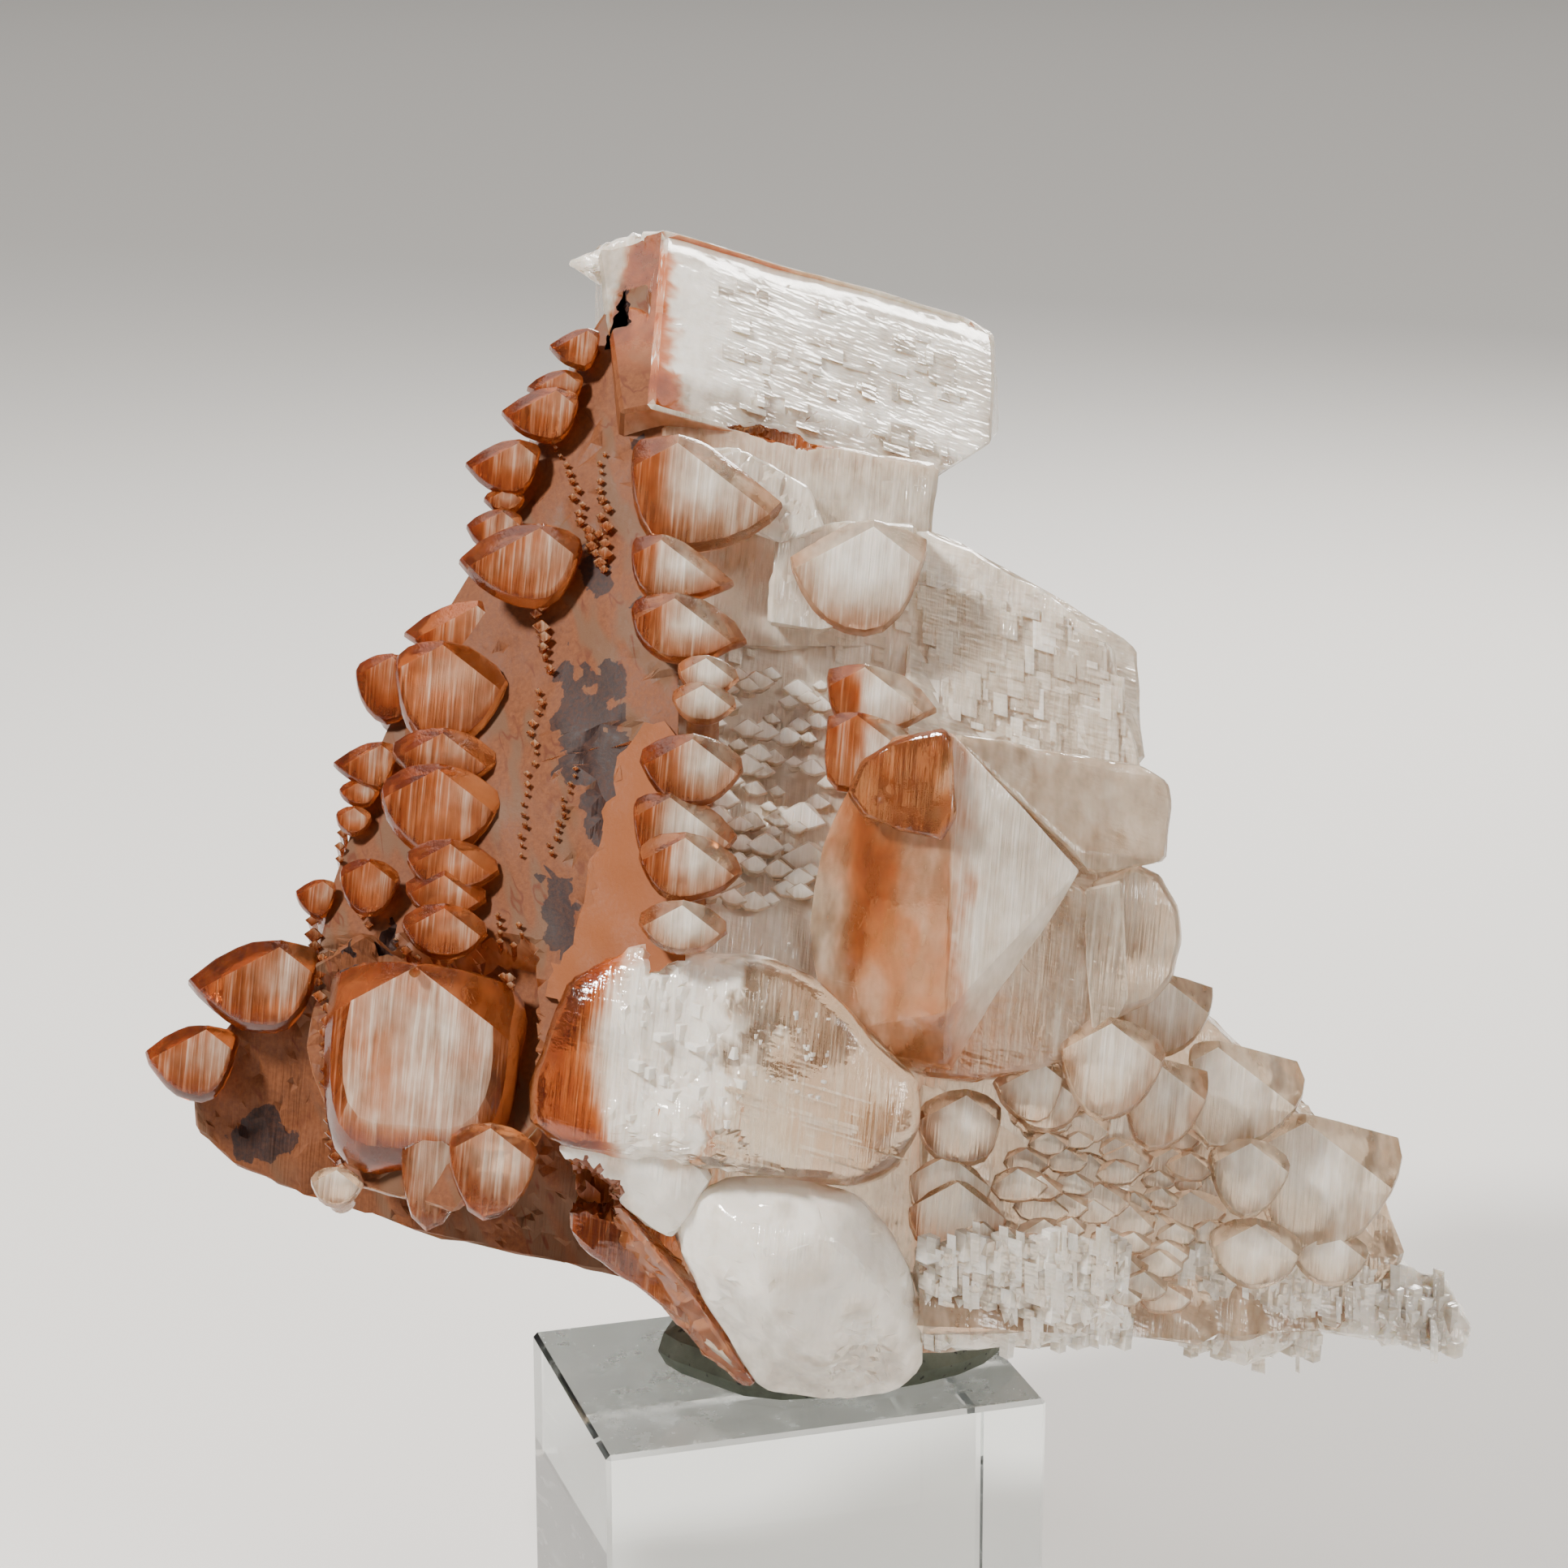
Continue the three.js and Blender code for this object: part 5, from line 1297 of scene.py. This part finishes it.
    clear = math_of("MULTIPLY", math_of("SUBTRACT", 1.0, veil), math_of("SUBTRACT", 1.0, wall), clamp=True)
    tree.links.new(math_of("MULTIPLY", clear, 0.95), shader.inputs["Transmission Weight"])
    rough = math_of("ADD", span(grain, 0.3, 0.7, 0.05, 0.17), math_of("MULTIPLY", wall, 0.42))
    tree.links.new(rough, shader.inputs["Roughness"])
    shader.inputs["IOR"].default_value = 1.6
    tree.links.new(math_of("SUBTRACT", 0.5, math_of("MULTIPLY", wall, 0.38)), shader.inputs["Specular IOR Level"])
    deep = math_of("SUBTRACT", 1.0, math_of("MULTIPLY", wall, 0.8))
    tree.links.new(math_of("MULTIPLY", deep, 0.5), shader.inputs["Subsurface Weight"])
    shader.inputs["Subsurface Radius"].default_value = (1.0, 0.8, 0.62)
    shader.inputs["Subsurface Scale"].default_value = 1.2 * MM

    height = math_of("MULTIPLY", math_of("MULTIPLY", streaks, front), 0.22)
    height = math_of("ADD", height, math_of("MULTIPLY", math_of("MULTIPLY", lines, cleaved), 0.2))
    height = math_of("ADD", height, math_of("MULTIPLY", grain, 0.025))
    bump = node("ShaderNodeBump", {"Height": height, "Strength": 0.8, "Distance": MM})
    tree.links.new(bump.outputs[0], shader.inputs["Normal"])
    return made


def putty_material():
    made, tree, shader, node, math_of, span, mix = material("putty")
    places = node("ShaderNodeTexCoord").outputs["Object"]
    lumps = node("ShaderNodeTexNoise", {"Vector": places, "Scale": 500, "Detail": 5}).outputs[0]
    dirt = node("ShaderNodeTexNoise", {"Vector": places, "Scale": 1400, "Detail": 2}).outputs[0]
    colour = ramp(node, lumps, ((0.3, (0.10, 0.115, 0.085)), (0.7, (0.19, 0.21, 0.165))))
    colour = mix(span(dirt, 0.64, 0.72), colour, (0.03, 0.035, 0.028, 1))
    tree.links.new(colour, shader.inputs["Base Color"])
    shader.inputs["Roughness"].default_value = 0.8
    bump = node("ShaderNodeBump", {"Height": lumps, "Strength": 0.5, "Distance": 0.6 * MM})
    tree.links.new(bump.outputs[0], shader.inputs["Normal"])
    return made


def acrylic_material():
    made, tree, shader, node, math_of, span, mix = material("acrylic")
    shader.inputs["Base Color"].default_value = (0.97, 0.985, 0.98, 1)
    shader.inputs["Transmission Weight"].default_value = 1.0
    shader.inputs["IOR"].default_value = 1.49
    places = node("ShaderNodeTexCoord").outputs["Object"]
    dust = node("ShaderNodeTexNoise", {"Vector": places, "Scale": 260, "Detail": 8, "Roughness": 0.7}).outputs[0]
    up = node("ShaderNodeSeparateXYZ", {0: node("ShaderNodeNewGeometry").outputs["Normal"]}).outputs[2]
    dusty = math_of("MULTIPLY", span(dust, 0.45, 0.62), span(up, 0.7, 0.95))
    tree.links.new(math_of("ADD", math_of("MULTIPLY", dusty, 0.3), 0.03), shader.inputs["Roughness"])
    absorb = node("ShaderNodeVolumeAbsorption")
    absorb.inputs["Color"].default_value = (0.80, 0.93, 0.90, 1)
    absorb.inputs["Density"].default_value = 9.0
    tree.links.new(absorb.outputs[0], tree.nodes["Material Output"].inputs["Volume"])
    return made


def floor_material():
    made, tree, shader, node, math_of, span, mix = material("floor")
    shader.inputs["Base Color"].default_value = (0.72, 0.708, 0.69, 1)
    shader.inputs["Roughness"].default_value = 0.9
    shader.inputs["Specular IOR Level"].default_value = 0
    return made


# The pieces

bodies = [
    *top_block(), *upper_tier(), *left_wall(), *tan_layer(), *middle_mass(), *right_slope(), *low_crystals(),
    *centre_crystal(), *far_side(), *column_heads(), *bead_rows(), *right_heads(), *scales(), *small_points(),
    *pits(),
]
cluster_mesh = joined("calcite_cluster_skin", bodies)
shell_count = largest_shell(cluster_mesh)
cluster_mesh.polygons.foreach_set("use_smooth", [True] * len(cluster_mesh.polygons))
cluster_mesh.set_sharp_from_angle(angle=math.radians(24))
cluster_mesh.materials.clear()
cluster_mesh.materials.append(calcite_material())
cluster = bpy.data.objects.new("calcite_cluster_skin", cluster_mesh)
bpy.context.scene.collection.objects.link(cluster)
print("triangles", len(cluster_mesh.polygons), "shells", shell_count)
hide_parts("calcite_cluster")
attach(cluster, "root")

for node_name, made in (("putty_pad", putty_material()), ("acrylic_block", acrylic_material())):
    item = frame["nodes"][node_name]
    item.data.materials.clear()
    item.data.materials.append(made)


# Floor, light and camera

def floor():
    size = 4.0
    mesh = bpy.data.meshes.new("floor")
    mesh.from_pydata([(-size, -size, 0), (size, -size, 0), (size, size, 0), (-size, size, 0)], [], [(0, 1, 2, 3)])
    mesh.materials.append(floor_material())
    item = bpy.data.objects.new("floor", mesh)
    item.location.z = -0.0002
    bpy.context.scene.collection.objects.link(item)


def soft_light(name, place, size, power, aim=(0, 0, 0.06)):
    light = bpy.data.lights.new(name, "AREA")
    light.shape = "DISK"
    light.size = size
    light.energy = power
    light.color = (1.0, 0.965, 0.92)
    item = bpy.data.objects.new(name, light)
    item.location = place
    item.rotation_mode = "QUATERNION"
    item.rotation_quaternion = (Vector(aim) - Vector(place)).to_track_quat("-Z", "Y")
    bpy.context.scene.collection.objects.link(item)


floor()
soft_light("key", (-0.3, -0.14, 0.42), 0.08, 4.4)
soft_light("back", (0.16, 0.34, 0.36), 0.2, 3.0)
soft_light("fill", (0.34, -0.26, 0.3), 0.12, 0.7)
soft_light("top", (0, 1.1, 2.2), 3.0, 36, aim=(0, 1.1, 0))

world = bpy.data.worlds.new("studio")
world.use_nodes = True
world.node_tree.nodes["Background"].inputs[0].default_value = (1.0, 0.96, 0.91, 1)
world.node_tree.nodes["Background"].inputs[1].default_value = 0.17
bpy.context.scene.world = world

camera_data = bpy.data.cameras.new("camera")
camera_data.lens = LENS
camera_data.sensor_width = SENSOR
camera_data.clip_start = 0.01
camera = bpy.data.objects.new("camera", camera_data)
camera.location = EYE * MM
camera.rotation_euler = (math.radians(90 - VIEW_DOWN), 0, 0)
bpy.context.scene.collection.objects.link(camera)
bpy.context.scene.camera = camera

bpy.context.view_layer.update()
